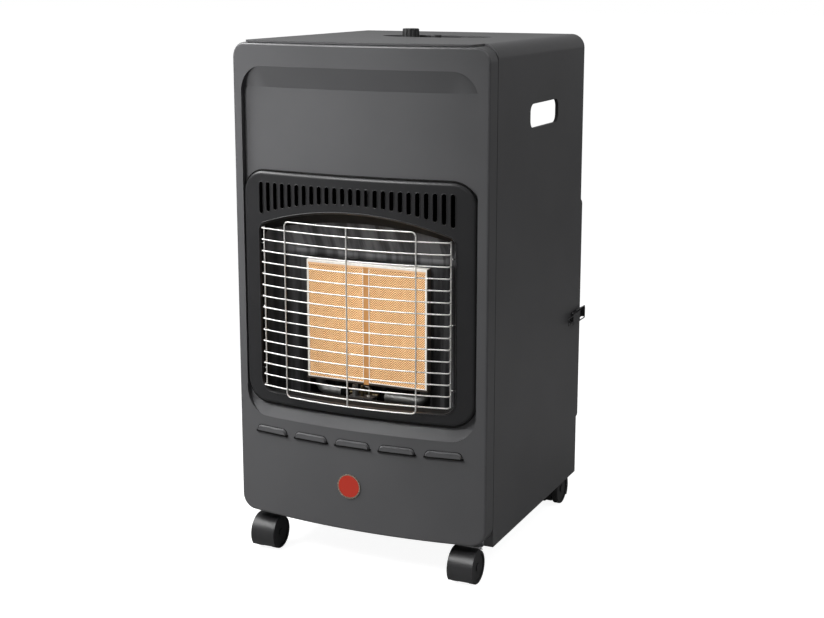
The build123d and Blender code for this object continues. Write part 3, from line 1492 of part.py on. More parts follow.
cowl_inner = wheel_radius + cowl_gap
cowl_outer = cowl_inner + cowl_wall
wheel_inner = web_width / 2 + wheel_gap
wheel_outer = wheel_inner + wheel_width
cowl_half = wheel_outer + wheel_gap
for place, (x, y, trail_side) in caster_places.items():
    axle_y = y + trail_side * caster_trail
    with BuildPart() as hood:
        with BuildSketch(Plane.YZ.offset(x - cowl_half)):
            with Locations((axle_y, wheel_radius)):
                Circle(cowl_outer)
                Circle(cowl_inner, mode=Mode.SUBTRACT)
            with Locations((axle_y, cowl_low - wheel_radius)):
                Rectangle(2 * cowl_outer, 2 * wheel_radius, mode=Mode.SUBTRACT)
            with Locations((y - trail_side * (caster_plate - cowl_back), wheel_radius)):
                Rectangle(2 * caster_plate, 2 * cowl_outer, mode=Mode.SUBTRACT)
        extrude(amount=2 * cowl_half)
        with BuildSketch(Plane.YZ.offset(x - web_width / 2)):
            with Locations((axle_y, wheel_radius)):
                Circle(cowl_inner)
            with Locations((axle_y, cowl_low - wheel_radius)):
                Rectangle(2 * cowl_outer, 2 * wheel_radius, mode=Mode.SUBTRACT)
        extrude(amount=web_width)
        with BuildSketch(Plane.XY.offset(boss_low)):
            with Locations((x, y)):
                Circle(boss_radius)
        extrude(amount=boss_top - boss_low)
        with BuildSketch(Plane.XY.offset(boss_top)):
            with Locations((x, y)):
                Circle(stem_radius + running)
        extrude(amount=-(boss_top - stem_low + seat_gap), mode=Mode.SUBTRACT)
        with BuildSketch(Plane.YZ.offset(x - web_width)):
            with Locations((axle_y, wheel_radius)):
                Circle(axle_radius)
        extrude(amount=2 * web_width, mode=Mode.SUBTRACT)
    hood.part.label = f"caster_hood_{place}"
    export_step(hood.part, f"parts/caster_hood_{place}.step")

    axle_half = wheel_outer - 2 * cowl_wall
    with BuildPart() as axle:
        with BuildSketch(Plane.YZ.offset(x - axle_half)):
            with Locations((axle_y, wheel_radius)):
                Circle(axle_radius)
        extrude(amount=2 * axle_half)
    axle.part.label = f"caster_axle_{place}"
    export_step(axle.part, f"parts/caster_axle_{place}.step")

    for side, side_name in ((-1, "left"), (1, "right")):
        hub = Plane(origin=(x + side * wheel_inner, axle_y, wheel_radius), z_dir=(side, 0, 0))
        with BuildPart() as wheel:
            with BuildSketch(hub):
                Circle(wheel_radius)
            extrude(amount=wheel_width)
            fillet(wheel.edges(), cowl_wall)
            with BuildSketch(hub.offset(wheel_width)):
                Circle(wheel_radius - 3 * cowl_wall)
                Circle(2 * axle_radius, mode=Mode.SUBTRACT)
            extrude(amount=-cowl_wall, mode=Mode.SUBTRACT)
            with BuildSketch(hub):
                Circle(axle_radius + running)
            extrude(amount=axle_half - wheel_inner + seat_gap, mode=Mode.SUBTRACT)
        wheel.part.label = f"wheel_{place}_{side_name}"
        export_step(wheel.part, f"parts/wheel_{place}_{side_name}.step")
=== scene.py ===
"""Looks of a portable gas cabinet heater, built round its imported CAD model.

Sheet metal, castings and wire come from the CAD nodes. The script gives them smooth surfaces and
finishes, and adds the small parts that the solids leave out. Lengths are in metres.
"""

import json
import math

import bmesh
import bpy
from bpy.props import FloatProperty, FloatVectorProperty, PointerProperty
from mathutils import Matrix, Vector
from mathutils.bvhtree import BVHTree


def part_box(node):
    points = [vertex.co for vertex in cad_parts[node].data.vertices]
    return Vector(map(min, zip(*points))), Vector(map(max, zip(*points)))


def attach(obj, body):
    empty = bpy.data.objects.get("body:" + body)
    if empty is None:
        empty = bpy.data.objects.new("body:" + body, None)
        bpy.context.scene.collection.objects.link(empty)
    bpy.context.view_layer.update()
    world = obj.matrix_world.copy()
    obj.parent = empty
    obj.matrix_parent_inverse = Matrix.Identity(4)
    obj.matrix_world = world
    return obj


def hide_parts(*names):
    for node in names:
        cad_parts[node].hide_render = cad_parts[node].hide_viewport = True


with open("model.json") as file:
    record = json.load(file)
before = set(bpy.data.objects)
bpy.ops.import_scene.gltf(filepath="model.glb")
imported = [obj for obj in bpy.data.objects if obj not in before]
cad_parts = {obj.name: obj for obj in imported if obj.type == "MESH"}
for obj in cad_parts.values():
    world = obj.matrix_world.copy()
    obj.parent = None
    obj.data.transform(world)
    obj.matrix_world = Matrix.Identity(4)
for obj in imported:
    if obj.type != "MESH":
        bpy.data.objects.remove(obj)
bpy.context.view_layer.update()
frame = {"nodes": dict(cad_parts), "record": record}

bl_info = {
    "name": "Cabinet heater looks",
    "version": (1, 0, 0),
    "blender": (4, 5, 0),
    "location": "3D View > Sidebar > Heater",
    "description": "Finishes and small parts of a portable gas cabinet heater",
    "category": "Object",
}

NODE_BODY = {
    node: body
    for body, nodes in frame["record"]["behaviour"]["bodies"].items()
    for node in nodes
}
WELD = 2e-6  # vertices nearer than this are one
EVEN = (1, 1, 1)  # noise that isn't drawn out
NOISE_SPAN = (0.3, 0.7)  # most of a noise lies between these
# near black that paints shade where no light reaches
SHADE_BLACK = (0.002, 0.002, 0.002)

# Front panel and its air vents
BOW_RADIUS = 0.94098  # of the front panel, in plan
VENT_PITCH = 0.0696
VENT_PLACES = tuple(column * VENT_PITCH for column in range(-2, 3))
VENT_WIDTH = 0.0565
VENT_LEVEL = 0.1947  # of the hoods' lower edges
VENT_PROUD = 0.003
VENT_HEIGHT = 0.0083  # of the painted shade lines' tops above the hoods' lower edges
VENT_CORNER = 0.0073
VENT_SLOPE = 0.0012  # the painted shade lines lie this far inside the vents' width, each side
MOUTH_ROUNDING = 0.8  # of the mouths' ends, as a share of VENT_PROUD
MOUTH_RECESS = 0.0001  # of the mouths' fronts, behind the hoods' faces

# Surround, reflector and guard
SURROUND_CORNER = 0.036
RECESS_DEPTH = 0.008
CORNER_STEPS = 12  # parts of a quarter turn
GAP_SHADOW_STEP = 0.0078  # the gap shadow's parts are no longer than this
LIP_TOLERANCE = 0.0004  # edges this near the bowed face can be a lip
LIP_ANGLE = math.radians(50)  # and their faces meet at more than this
THROAT_FADE = (0.002, 0.004)  # depths behind the bowed face over which the enamel turns near black (painted shade) and rougher
THROAT_SIDES = (0.1625, 0.1605)  # half widths over which that begins
THROAT_ROUGHER = 0.4  # what it adds to the roughness
STUB_FADE = (0.1505, 0.1515)  # half widths over which the guard's wire ends are painted dark, painted shade in the throat
STREAK_EDGES = ((0.101, 0.103), (0.119, 0.117))  # half widths of the roof's light streaks, painted reflections of the plaques
REFLECTOR_FLOOR = 0.004  # above the reflector's foot
REFLECTOR_ROOF = 0.012  # above the plaques' tops, where the roof's painted light begins
REFLECTOR_FADE = 0.004  # height over which its floor and its top change colour
ROOF_FADE = 0.006
SLOT_REACH = 0.09  # how far below the reflector's top things show through the slots; there they get painted shade
SLOT_FADE = 0.01  # height over which the painted shade fades in

# Plaques and burner trim: distances from the trim's side, the plaques' edges or the middle
PORT_STRETCH = 1.45  # upright distances from a port count this much more
PORT_EDGE = (0.36, 0.5)  # spacings from a port's middle over which it ends
TRIM_SIDE = (0.0020, 0.0016)  # painted shade outside of these
TRIM_FOOT = (0.0002, 0.0006)  # and below these
TRIM_WARM_TOP = (0.0026, 0.0020)  # the warm band over the plaques
TRIM_WARM_SIDE = (0.0036, 0.0040)
TRIM_WARM_FOOT = (0.0016, 0.0012)
TRIM_BAR = (0.0044, 0.0040)  # half widths of the golden-orange middle bar
TRIM_BAR_TOP = (0.0014, 0.0008)

# Hardware, knob and badge
HINGE_LEVELS = (0.202, 0.455)
HINGE_RIVET_DEPTH = 0.1915  # Y of the hinge rivets
RIVET_STEP = 0.012  # of the hinge rivets above and below the hinge's middle
LATCH_RIVET_STEP = 1.6  # of the latch rivets, in radii
LATCH_RIVET_SHARE = 0.7  # of their radius, compared with the hinge rivets
RIVET_FLATNESS = 0.42
FAR_SIDE = 0.3  # rays that look for the sides start this far out
POINTER_WIDTH = 0.0014
POINTER_THICKNESS = 0.0004
POINTER_LENGTH = 0.62  # in knob radii
POINTER_REACH = 0.45  # of its middle, in knob radii
POINTER_SUNK = 0.00015  # of its middle below the knob's top
POINTER_ROUNDING = 0.0001
BADGE_X = -0.006
BADGE_Z = 0.133
BADGE_RAY = 0.05  # the ray that finds its place starts this far ahead of the panel
BADGE_SEGMENTS = 64
BADGE_RIM = 0.09  # width of the rim, in radii
BADGE_SINK = 0.25  # of the rim's inside, in thicknesses
BADGE_EDGE = 0.0009  # edges above this level are rounded
BADGE_ROUNDING = 0.0002
BADGE_FACE = 0.9  # radius of the enamelled face, in radii
BADGE_FACE_LEVEL = 0.8  # in thicknesses
BADGE_SLOPE = 0.25  # width of the face's sloping edge, in radii
BADGE_CROWN = 0.0001  # rise of its middle

# Camera, lamps and floor
IMAGE_WIDTH = 824
PRINCIPAL_ROW_OFFSET = 33  # pixels from the image's middle row up to the camera's axis
CAMERA_PLACE = (0.93031, -2.00791, 0.86328)
CAMERA_YAW = math.radians(24.907)
CAMERA_PITCH = math.radians(11.646)
LENS_LENGTH = 63.92  # millimetres
SENSOR_WIDTH = 36
LAMPS = (  # name, place, target, side in metres, watts, spread in degrees
    ("key_lamp", (-0.61, -1.26, 1.53), (-0.1, -0.2, 0.62), 0.8, 2.9, 40),
    ("left_lamp", (-1.58, -0.62, 1.65), (-0.2, -0.2, 0.5), 0.8, 5.5, 60),
    ("right_lamp", (2.09, 0.17, 2.62), (0, -0.2, 0.5), 1.2, 18, 180),
)
FLOOR_HALF = 30
FLOOR_LIT = 0.35  # grey of the floor as it lights the object
FLOOR_SEEN = 0.42  # and as the camera sees it, before its glow
FLOOR_GLOW = 0.92
WORLD_LAMP = 0.25  # strength of the surround as a lamp
WORLD_MIRRORED = 0.28  # and where it is mirrored


# ---------------------------------------------------------------- settings
class HeaterSizes(bpy.types.PropertyGroup):
    """Sizes of the small parts and of the patterns."""

    badge_diameter: FloatProperty(
        name="Badge", description="Diameter of the plain front badge", default=0.037, unit="LENGTH"
    )
    badge_thickness: FloatProperty(
        name="Badge thickness", description="How far the badge stands out", default=0.0014,
        unit="LENGTH",
    )
    rivet_head: FloatProperty(
        name="Rivet head", description="Diameter of the hinge rivets' heads", default=0.0068,
        unit="LENGTH",
    )
    wire_slimming: FloatProperty(
        name="Wire slimming", description="Taken off the guard's wire all round", default=0.0003,
        unit="LENGTH",
    )
    slot_lip: FloatProperty(
        name="Slot lip", description="Radius of the rolled lip round each slot", default=0.00055,
        unit="LENGTH",
    )
    window_lip: FloatProperty(
        name="Window lip", description="Radius of the rolled lip round the window", default=0.0008,
        unit="LENGTH",
    )
    # Painted shade: a black cord stands for the shadow in the gap round the surround.
    gap_shadow_radius: FloatProperty(
        name="Seal", description="Radius of the black cord round the surround", default=0.0017,
        unit="LENGTH",
    )
    # Painted shade: the dark mouth under each air vent is a block of shade.
    vent_gap: FloatProperty(
        name="Vent gap", description="Height of the dark mouth under each air vent", default=0.0023,
        unit="LENGTH",
    )
    # Painted shade: a dark line round the foot of each air vent.
    vent_foot_shadow: FloatProperty(
        name="Vent seam", description="Radius of the dark seam round each air vent", default=0.0006,
        unit="LENGTH",
    )
    port_row: FloatProperty(
        name="Port rows", description="Height between the plaques' slanting rows of flame ports",
        default=0.0034, unit="LENGTH",
    )
    port_step: FloatProperty(
        name="Port spacing", description="Sideways distance between the ports of a row",
        default=0.0018, unit="LENGTH",
    )
    port_zigzag: FloatProperty(
        name="Zigzag", description="Width over which the rows slant one way", default=0.0078,
        unit="LENGTH",
    )
    smooth_angle: FloatProperty(
        name="Smooth below", description="Edges flatter than this are shaded smooth",
        default=math.radians(24), subtype="ANGLE",
    )
    fold_angle: FloatProperty(
        name="Fold above", description="Edges between two wide faces are folds above this angle",
        default=math.radians(7), subtype="ANGLE",
    )
    fold_width: FloatProperty(
        name="Fold width", description="Faces wider than this are wide", default=0.0045,
        unit="LENGTH",
    )


class HeaterColours(bpy.types.PropertyGroup):
    """Colours of the finishes."""

    paint: FloatVectorProperty(
        name="Paint", description="Satin anthracite of the cabinet", subtype="COLOR",
        default=(0.085, 0.085, 0.088), min=0, max=1,
    )
    enamel: FloatVectorProperty(
        name="Enamel", description="Black enamel of the surround", subtype="COLOR",
        default=(0.02, 0.02, 0.021), min=0, max=1,
    )
    ceramic: FloatVectorProperty(
        name="Ceramic", description="Face of the glowing plaques", subtype="COLOR",
        default=(0.95, 0.60, 0.30), min=0, max=1,
    )
    ceramic_port: FloatVectorProperty(
        name="Ports", description="Flame ports of the plaques", subtype="COLOR",
        default=(0.26, 0.085, 0.02), min=0, max=1,
    )
    badge: FloatVectorProperty(
        name="Badge", description="Enamelled face of the badge", subtype="COLOR",
        default=(0.45, 0.035, 0.02), min=0, max=1,
    )
    plastic: FloatVectorProperty(
        name="Plastic", description="Moulded black parts", subtype="COLOR",
        default=(0.022, 0.022, 0.023), min=0, max=1,
    )


# ---------------------------------------------------------------- materials
def new_material(name, colour, roughness, metallic=0.0):
    """A principled material and its shader."""
    material = bpy.data.materials.new(name)
    material.use_nodes = True
    shader = material.node_tree.nodes["Principled BSDF"]
    shader.inputs["Base Color"].default_value = (*colour, 1)
    shader.inputs["Roughness"].default_value = roughness
    shader.inputs["Metallic"].default_value = metallic
    return material, shader


def object_noise(material, scale, detail=2.0, stretch=EVEN):
    """Noise over object coordinates, drawn out along an axis whose factor is below 1."""
    nodes = material.node_tree.nodes
    links = material.node_tree.links
    place = nodes.new("ShaderNodeTexCoord")
    mapping = nodes.new("ShaderNodeMapping")
    mapping.inputs["Scale"].default_value = stretch
    noise = nodes.new("ShaderNodeTexNoise")
    noise.inputs["Scale"].default_value = scale
    noise.inputs["Detail"].default_value = detail
    links.new(place.outputs["Object"], mapping.inputs["Vector"])
    links.new(mapping.outputs["Vector"], noise.inputs["Vector"])
    return noise


def remap(material, source, low, high):
    """A noise mapped to low and high."""
    node = material.node_tree.nodes.new("ShaderNodeMapRange")
    node.inputs["From Min"].default_value = NOISE_SPAN[0]
    node.inputs["From Max"].default_value = NOISE_SPAN[1]
    node.inputs["To Min"].default_value = low
    node.inputs["To Max"].default_value = high
    material.node_tree.links.new(source, node.inputs["Value"])
    return node.outputs["Result"]


def bump(material, shader, height, strength, distance):
    """Relief from a height."""
    node = material.node_tree.nodes.new("ShaderNodeBump")
    node.inputs["Strength"].default_value = strength
    node.inputs["Distance"].default_value = distance
    material.node_tree.links.new(height, node.inputs["Height"])
    material.node_tree.links.new(node.outputs["Normal"], shader.inputs["Normal"])


def tint(material, shader, source, first, second):
    """Base colour between two colours, by a noise."""
    ramp = material.node_tree.nodes.new("ShaderNodeValToRGB")
    for stop, colour, position in zip(ramp.color_ramp.elements, (first, second), NOISE_SPAN):
        stop.color = (*colour, 1)
        stop.position = position
    material.node_tree.links.new(source, ramp.inputs["Fac"])
    material.node_tree.links.new(ramp.outputs["Color"], shader.inputs["Base Color"])


def shade(colour, factor):
    """A colour made lighter or darker."""
    return tuple(min(1.0, channel * factor) for channel in colour)


def powder_paint(name, colour, roughness):
    """Satin powder paint with a fine orange peel and faint cloudiness."""
    material, shader = new_material(name, colour, roughness)
    shader.inputs["Specular IOR Level"].default_value = 0.35
    clouds = object_noise(material, 9, 3)
    tint(material, shader, clouds.outputs["Fac"], shade(colour, 0.95), shade(colour, 1.05))
    grain = object_noise(material, 1500, 2)
    rough = remap(material, grain.outputs["Fac"], roughness - 0.03, roughness + 0.05)
    material.node_tree.links.new(rough, shader.inputs["Roughness"])
    bump(material, shader, grain.outputs["Fac"], 0.12, 0.0002)
    return material


def enamel(name, colour):
    """Black vitreous enamel with a slightly uneven gloss."""
    material, shader = new_material(name, colour, 0.4)
    shader.inputs["Specular IOR Level"].default_value = 0.3
    waves = object_noise(material, 60, 2)
    rough = remap(material, waves.outputs["Fac"], 0.34, 0.42)
    material.node_tree.links.new(rough, shader.inputs["Roughness"])
    grain = object_noise(material, 700, 2)
    bump(material, shader, grain.outputs["Fac"], 0.08, 0.0002)
    return material


def plated(name, colour, roughness, stretch=EVEN, scale=400, spread=0.06, metallic=1.0):
    """Plated or brushed metal, its grain drawn out along the axis with the smallest factor."""
    material, shader = new_material(name, colour, roughness, metallic)
    grain = object_noise(material, scale, 3, stretch)
    rough = remap(material, grain.outputs["Fac"], max(0.03, roughness - spread), roughness + spread)
    material.node_tree.links.new(rough, shader.inputs["Roughness"])
    tint(material, shader, grain.outputs["Fac"], shade(colour, 0.9), shade(colour, 1.06))
    bump(material, shader, grain.outputs["Fac"], 0.05, 0.0001)
    return material


def math_node(material, operation, *values):
    """One step of arithmetic on sockets and numbers."""
    node = material.node_tree.nodes.new("ShaderNodeMath")
    node.operation = operation
    for socket, value in zip(node.inputs, values):
        if isinstance(value, bpy.types.NodeSocket):
            material.node_tree.links.new(value, socket)
        else:
            socket.default_value = value
    return node.outputs[0]


def object_axes(material):
    """The X, Y and Z of object coordinates."""
    nodes = material.node_tree.nodes
    place = nodes.new("ShaderNodeTexCoord")
    split = nodes.new("ShaderNodeSeparateXYZ")
    material.node_tree.links.new(place.outputs["Object"], split.inputs["Vector"])
    return split.outputs["X"], split.outputs["Y"], split.outputs["Z"]


def step_up(material, source, low, high):
    """0 below low, 1 above high, and the other way round where low is the higher."""
    node = material.node_tree.nodes.new("ShaderNodeMapRange")
    node.interpolation_type = "SMOOTHSTEP"
    node.inputs["From Min"].default_value = low
    node.inputs["From Max"].default_value = high
    material.node_tree.links.new(source, node.inputs["Value"])
    return node.outputs["Result"]


def blend(material, share, first, second):
    """A colour between two, each a socket or a plain colour."""
    node = material.node_tree.nodes.new("ShaderNodeMixRGB")
    for name, value in (("Fac", share), ("Color1", first), ("Color2", second)):
        if isinstance(value, bpy.types.NodeSocket):
            material.node_tree.links.new(value, node.inputs[name])
        else:
            node.inputs[name].default_value = (*value, 1)
    return node.outputs["Color"]


def darken(material, share):
    """Paint shade: turn a material's base colour nearly black where the share is 1."""
    base = material.node_tree.nodes["Principled BSDF"].inputs["Base Color"]
    colour = base.links[0].from_socket if base.is_linked else tuple(base.default_value)[:3]
    material.node_tree.links.new(blend(material, share, colour, SHADE_BLACK), base)


def blued_sheet(name, floor_level, roof_level, top_level):
    """Heat-blued sheet streaked upright: black walls, a lighter roof of painted light with painted
    reflection streaks, painted shade above it, near black at its foot.
    """
    material, shader = new_material(name, (0.02, 0.02, 0.021), 0.5)
    shader.inputs["Specular IOR Level"].default_value = 0.22
    streaks = object_noise(material, 70, 4, (1, 0.2, 0.05))
    grain = step_up(material, streaks.outputs["Fac"], 0.36, 0.66)
    walls = blend(material, grain, (0.004, 0.004, 0.0045), (0.05, 0.05, 0.052))
    plain = blend(material, grain, (0.045, 0.045, 0.047), (0.15, 0.15, 0.155))
    x, _, height = object_axes(material)
    aside = math_node(material, "ABSOLUTE", x)
    inner, outer = (step_up(material, aside, *edge) for edge in STREAK_EDGES)
    reflection_streak = math_node(material, "MULTIPLY", inner, outer)
    # Painted light: the roof is lighter grey, with painted reflections in the streaks.
    roof = blend(material, reflection_streak, plain, (0.17, 0.17, 0.175))
    above = step_up(material, height, roof_level, roof_level + ROOF_FADE)
    # Painted shade: near black above the top, where the sheet is seen through the slots.
    below = step_up(material, height, top_level, top_level - REFLECTOR_FADE)
    upper = blend(material, below, SHADE_BLACK, blend(material, above, walls, roof))
    low = step_up(material, height, floor_level, floor_level + REFLECTOR_FADE)
    colour = blend(material, low, (0.003, 0.003, 0.003), upper)
    material.node_tree.links.new(colour, shader.inputs["Base Color"])
    rough = remap(material, streaks.outputs["Fac"], 0.42, 0.6)
    material.node_tree.links.new(rough, shader.inputs["Roughness"])
    bump(material, shader, streaks.outputs["Fac"], 0.1, 0.0006)
    return material


def shade_black_sheet(name):
    """Dull, faintly uneven black sheet that stands in for shade: painted shade."""
    material, shader = new_material(name, (0.004, 0.004, 0.004), 0.7)
    shader.inputs["Specular IOR Level"].default_value = 0.1
    unevenness = object_noise(material, 80, 3)
    tint(material, shader, unevenness.outputs["Fac"], SHADE_BLACK, (0.008, 0.008, 0.008))
    return material


def moulded(name, colour, roughness=0.45, scale=1100):
    """Moulded plastic with a fine spark-eroded grain."""
    material, shader = new_material(name, colour, roughness)
    grain = object_noise(material, scale, 2)
    bump(material, shader, grain.outputs["Fac"], 0.2, 0.0002)
    clouds = object_noise(material, 30, 2)
    tint(material, shader, clouds.outputs["Fac"], shade(colour, 0.9), shade(colour, 1.12))
    return material


def port_distance(material, sizes):
    """Distance from the nearest flame port of the zigzag rows, in spacings."""
    x, _, z = object_axes(material)
    across = math_node(material, "PINGPONG", x, sizes.port_zigzag)
    slanted = math_node(material, "ADD", z, across)
    row = math_node(material, "FRACT", math_node(material, "DIVIDE", slanted, sizes.port_row))
    step = math_node(material, "FRACT", math_node(material, "DIVIDE", x, sizes.port_step))
    over = math_node(material, "SUBTRACT", row, 0.5)
    over = math_node(material, "MULTIPLY", over, PORT_STRETCH)
    aside = math_node(material, "SUBTRACT", step, 0.5)
    square = math_node(material, "MULTIPLY", over, over)
    both = math_node(material, "MULTIPLY_ADD", aside, aside, square)
    return math_node(material, "SQRT", both)


def flame_ceramic(name, face, port, sizes):
    """Perforated ceramic with zigzag rows of ports and a warm glow."""
    material, shader = new_material(name, face, 0.85)
    edge = step_up(material, port_distance(material, sizes), *PORT_EDGE)
    clouds = object_noise(material, 55, 3)
    warm = blend(material, clouds.outputs["Fac"], shade(face, 0.86), shade(face, 1.08))
    colour = blend(material, edge, port, warm)
    material.node_tree.links.new(colour, shader.inputs["Base Color"])
    material.node_tree.links.new(colour, shader.inputs["Emission Color"])
    shader.inputs["Emission Strength"].default_value = 0.32
    bump(material, shader, edge, 0.7, 0.0008)
    return material


def burner_trim(name):
    """Folded trim: pale along its inner edge, painted shade outside it and below, its middle bar
    golden orange, all faintly glowing (painted light).
    """
    material, shader = new_material(name, (0.8, 0.78, 0.74), 0.5, 0.2)
    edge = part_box("burner_frame")[1].x
    plaque_low, plaque_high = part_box("plaque_left")
    x, _, z = object_axes(material)
    aside = math_node(material, "ABSOLUTE", x)

    def band(source, base, distances):
        return step_up(material, source, base + distances[0], base + distances[1])

    def inset(distances):
        return [-distance for distance in distances]

    grain = object_noise(material, 260, 3, (1, 1, 0.3))
    pale = blend(material, grain.outputs["Fac"], (0.66, 0.63, 0.58), (0.9, 0.87, 0.82))
    # Painted shade: near black outside the pale edge and below the plaques.
    shaded = blend(material, grain.outputs["Fac"], (0.02, 0.017, 0.015), (0.07, 0.055, 0.045))
    golden = blend(material, grain.outputs["Fac"], (0.46, 0.20, 0.06), (0.60, 0.30, 0.10))
    side = band(aside, edge, inset(TRIM_SIDE))
    foot = band(z, plaque_low.z, inset(TRIM_FOOT))
    outer = math_node(material, "MAXIMUM", side, foot)
    rim = blend(material, outer, pale, shaded)
    near = band(z, plaque_high.z, TRIM_WARM_TOP)
    within = band(aside, edge, inset(TRIM_WARM_SIDE))
    above = band(z, plaque_high.z, inset(TRIM_WARM_FOOT))
    warm = math_node(material, "MULTIPLY", math_node(material, "MULTIPLY", near, within), above)
    inner = blend(material, warm, rim, (0.78, 0.48, 0.26))
    middle = band(aside, 0, TRIM_BAR)
    level = band(z, plaque_high.z, TRIM_BAR_TOP)
    colour = blend(material, math_node(material, "MULTIPLY", middle, level), inner, golden)
    material.node_tree.links.new(colour, shader.inputs["Base Color"])
    material.node_tree.links.new(colour, shader.inputs["Emission Color"])
    # Painted light: the whole trim glows faintly in its own colours.
    shader.inputs["Emission Strength"].default_value = 0.2
    bump(material, shader, grain.outputs["Fac"], 0.15, 0.0003)
    return material


# ---------------------------------------------------------------- pieces
def finish_mesh(piece, material, angle):
    """Smooth shading below an angle, and one material."""
    mesh = piece.data
    mesh.materials.clear()
    mesh.materials.append(material)
    for face in mesh.polygons:
        face.material_index = 0
    mesh.shade_smooth()
    mesh.set_sharp_from_angle(angle=angle)


def face_width(face):
    """A triangle's height over its longest edge."""
    return 2 * face.calc_area() / max(edge.calc_length() for edge in face.edges)


def mark_folds(mesh, sizes):
    """Sharp edges where two wide sheets meet at a slight angle."""
    form = bmesh.new()
    form.from_mesh(mesh)
    for edge in form.edges:
        if len(edge.link_faces) == 2 and edge.calc_face_angle() > sizes.fold_angle:
            if min(face_width(face) for face in edge.link_faces) > sizes.fold_width:
                edge.smooth = False
    form.to_mesh(mesh)
    form.free()


def smooth_skin(node, material, slimming=0):
    """A welded, smoothly shaded copy of a CAD node, shown in its place and slimmed all round."""
    mesh = frame["nodes"][node].data.copy()
    mesh.name = f"{node}_skin"
    form = bmesh.new()
    form.from_mesh(mesh)
    bmesh.ops.remove_doubles(form, verts=form.verts, dist=WELD)
    bmesh.ops.dissolve_degenerate(form, edges=form.edges, dist=WELD)
    if slimming:
        bmesh.ops.recalc_face_normals(form, faces=form.faces)
        form.normal_update()
        inwards = {vertex: -slimming * vertex.normal for vertex in form.verts}
        for vertex, move in inwards.items():
            vertex.co += move
    form.to_mesh(mesh)
    form.free()
    if "custom_normal" in mesh.attributes:
        mesh.attributes.remove(mesh.attributes["custom_normal"])
    piece = bpy.data.objects.new(f"{node}_skin", mesh)
    bpy.context.scene.collection.objects.link(piece)
    sizes = bpy.context.scene.heater_sizes
    finish_mesh(piece, material, sizes.smooth_angle)
    mark_folds(mesh, sizes)
    even = piece.modifiers.new("even_shading", "WEIGHTED_NORMAL")
    even.keep_sharp = True
    even.weight = 100
    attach(piece, NODE_BODY[node])
    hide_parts(node)
    return piece


def skins(material, *nodes):
    """Smooth skins of several nodes in one material."""
    for node in nodes:
        smooth_skin(node, material)


def new_piece(name, form, material, body, angle=math.radians(30)):
    """A finished piece from a bmesh."""
    bmesh.ops.recalc_face_normals(form, faces=form.faces)
    mesh = bpy.data.meshes.new(name)
    form.to_mesh(mesh)
    form.free()
    piece = bpy.data.objects.new(name, mesh)
    bpy.context.scene.collection.objects.link(piece)
    finish_mesh(piece, material, angle)
    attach(piece, body)
    return piece


def gather(whole, form):
    """Add a bmesh to another, and free it."""
    mesh = bpy.data.meshes.new("gathered")
    form.to_mesh(mesh)
    form.free()
    whole.from_mesh(mesh)
    bpy.data.meshes.remove(mesh)


def bow_setback(x):
    """How far the bowed front lies behind its crown at x."""
    return BOW_RADIUS - math.sqrt(BOW_RADIUS**2 - x**2)


def lip_rings(node):
    """Rings of points along the openings' sharp front edges in a bowed CAD node."""
    form = bmesh.new()
    form.from_mesh(frame["nodes"][node].data)
    bmesh.ops.remove_doubles(form, verts=form.verts, dist=WELD)
    crown = min(vertex.co.y for vertex in form.verts)

    def on_lip(edge):
        middle = (edge.verts[0].co + edge.verts[1].co) / 2
        near = abs(middle.y - crown - bow_setback(middle.x)) < LIP_TOLERANCE
        return near and len(edge.link_faces) == 2 and edge.calc_face_angle() > LIP_ANGLE

    lips = [edge for edge in form.edges if on_lip(edge)]
    left = set(lips)
    rings = []
    for first in lips:
        if first not in left:
            continue
        left.remove(first)
        ring = [first.verts[0], first.verts[1]]
        while True:
            ahead = [edge for edge in ring[-1].link_edges if edge in left]
            if not ahead:
                break
            left.remove(ahead[0])
            ring.append(ahead[0].other_vert(ring[-1]))
        if ring[0] is not ring[-1]:
            raise RuntimeError(f"a lip of {node} isn't closed")
        rings.append([vertex.co.copy() for vertex in ring[:-1]])
    form.free()
    return rings


def ring_sides(ring):
    """The X of each of a ring's points."""
    return [place.x for place in ring]


def widened(ring, grow):
    """A ring of points grown sideways and upright about its middle."""
    xs = ring_sides(ring)
    zs = [place.z for place in ring]
    middle = Vector(((min(xs) + max(xs)) / 2, 0, (min(zs) + max(zs)) / 2))
    across = 1 + 2 * grow / (max(xs) - min(xs))
    upright = 1 + 2 * grow / (max(zs) - min(zs))
    return [
        Vector((
            middle.x + (place.x - middle.x) * across,
            place.y,
            middle.z + (place.z - middle.z) * upright,
        ))
        for place in ring
    ]


def filled_out(ring, gap, closed=True):
    """A ring or line with points added so that none lie farther apart than the gap."""
    filled = []
    ends = ring[1:] + ring[:1] if closed else ring[1:]
    for first, second in zip(ring, ends):
        parts = max(1, math.ceil((second - first).length / gap))
        filled += [first.lerp(second, part / parts) for part in range(parts)]
    return filled if closed else filled + ring[-1:]


def bead(name, rings, radius, material, body, closed=True):
    """Round bead along rings or, where they aren't closed, lines of points."""
    line = bpy.data.curves.new(f"{name}_line", "CURVE")
    line.dimensions = "3D"
    line.bevel_depth = radius
    line.bevel_resolution = 2
    line.use_fill_caps = not closed
    for ring in rings:
        spline = line.splines.new("POLY")
        spline.points.add(len(ring) - 1)
        for point, place in zip(spline.points, ring):
            point.co = (*place, 1)
        spline.use_cyclic_u = closed
    holder = bpy.data.objects.new(f"{name}_line", line)
    bpy.context.scene.collection.objects.link(holder)
    shown = holder.evaluated_get(bpy.context.evaluated_depsgraph_get())
    form = bmesh.new()
    form.from_mesh(bpy.data.meshes.new_from_object(shown))
    bpy.data.objects.remove(holder)
    return new_piece(name, form, material, body, math.radians(60))


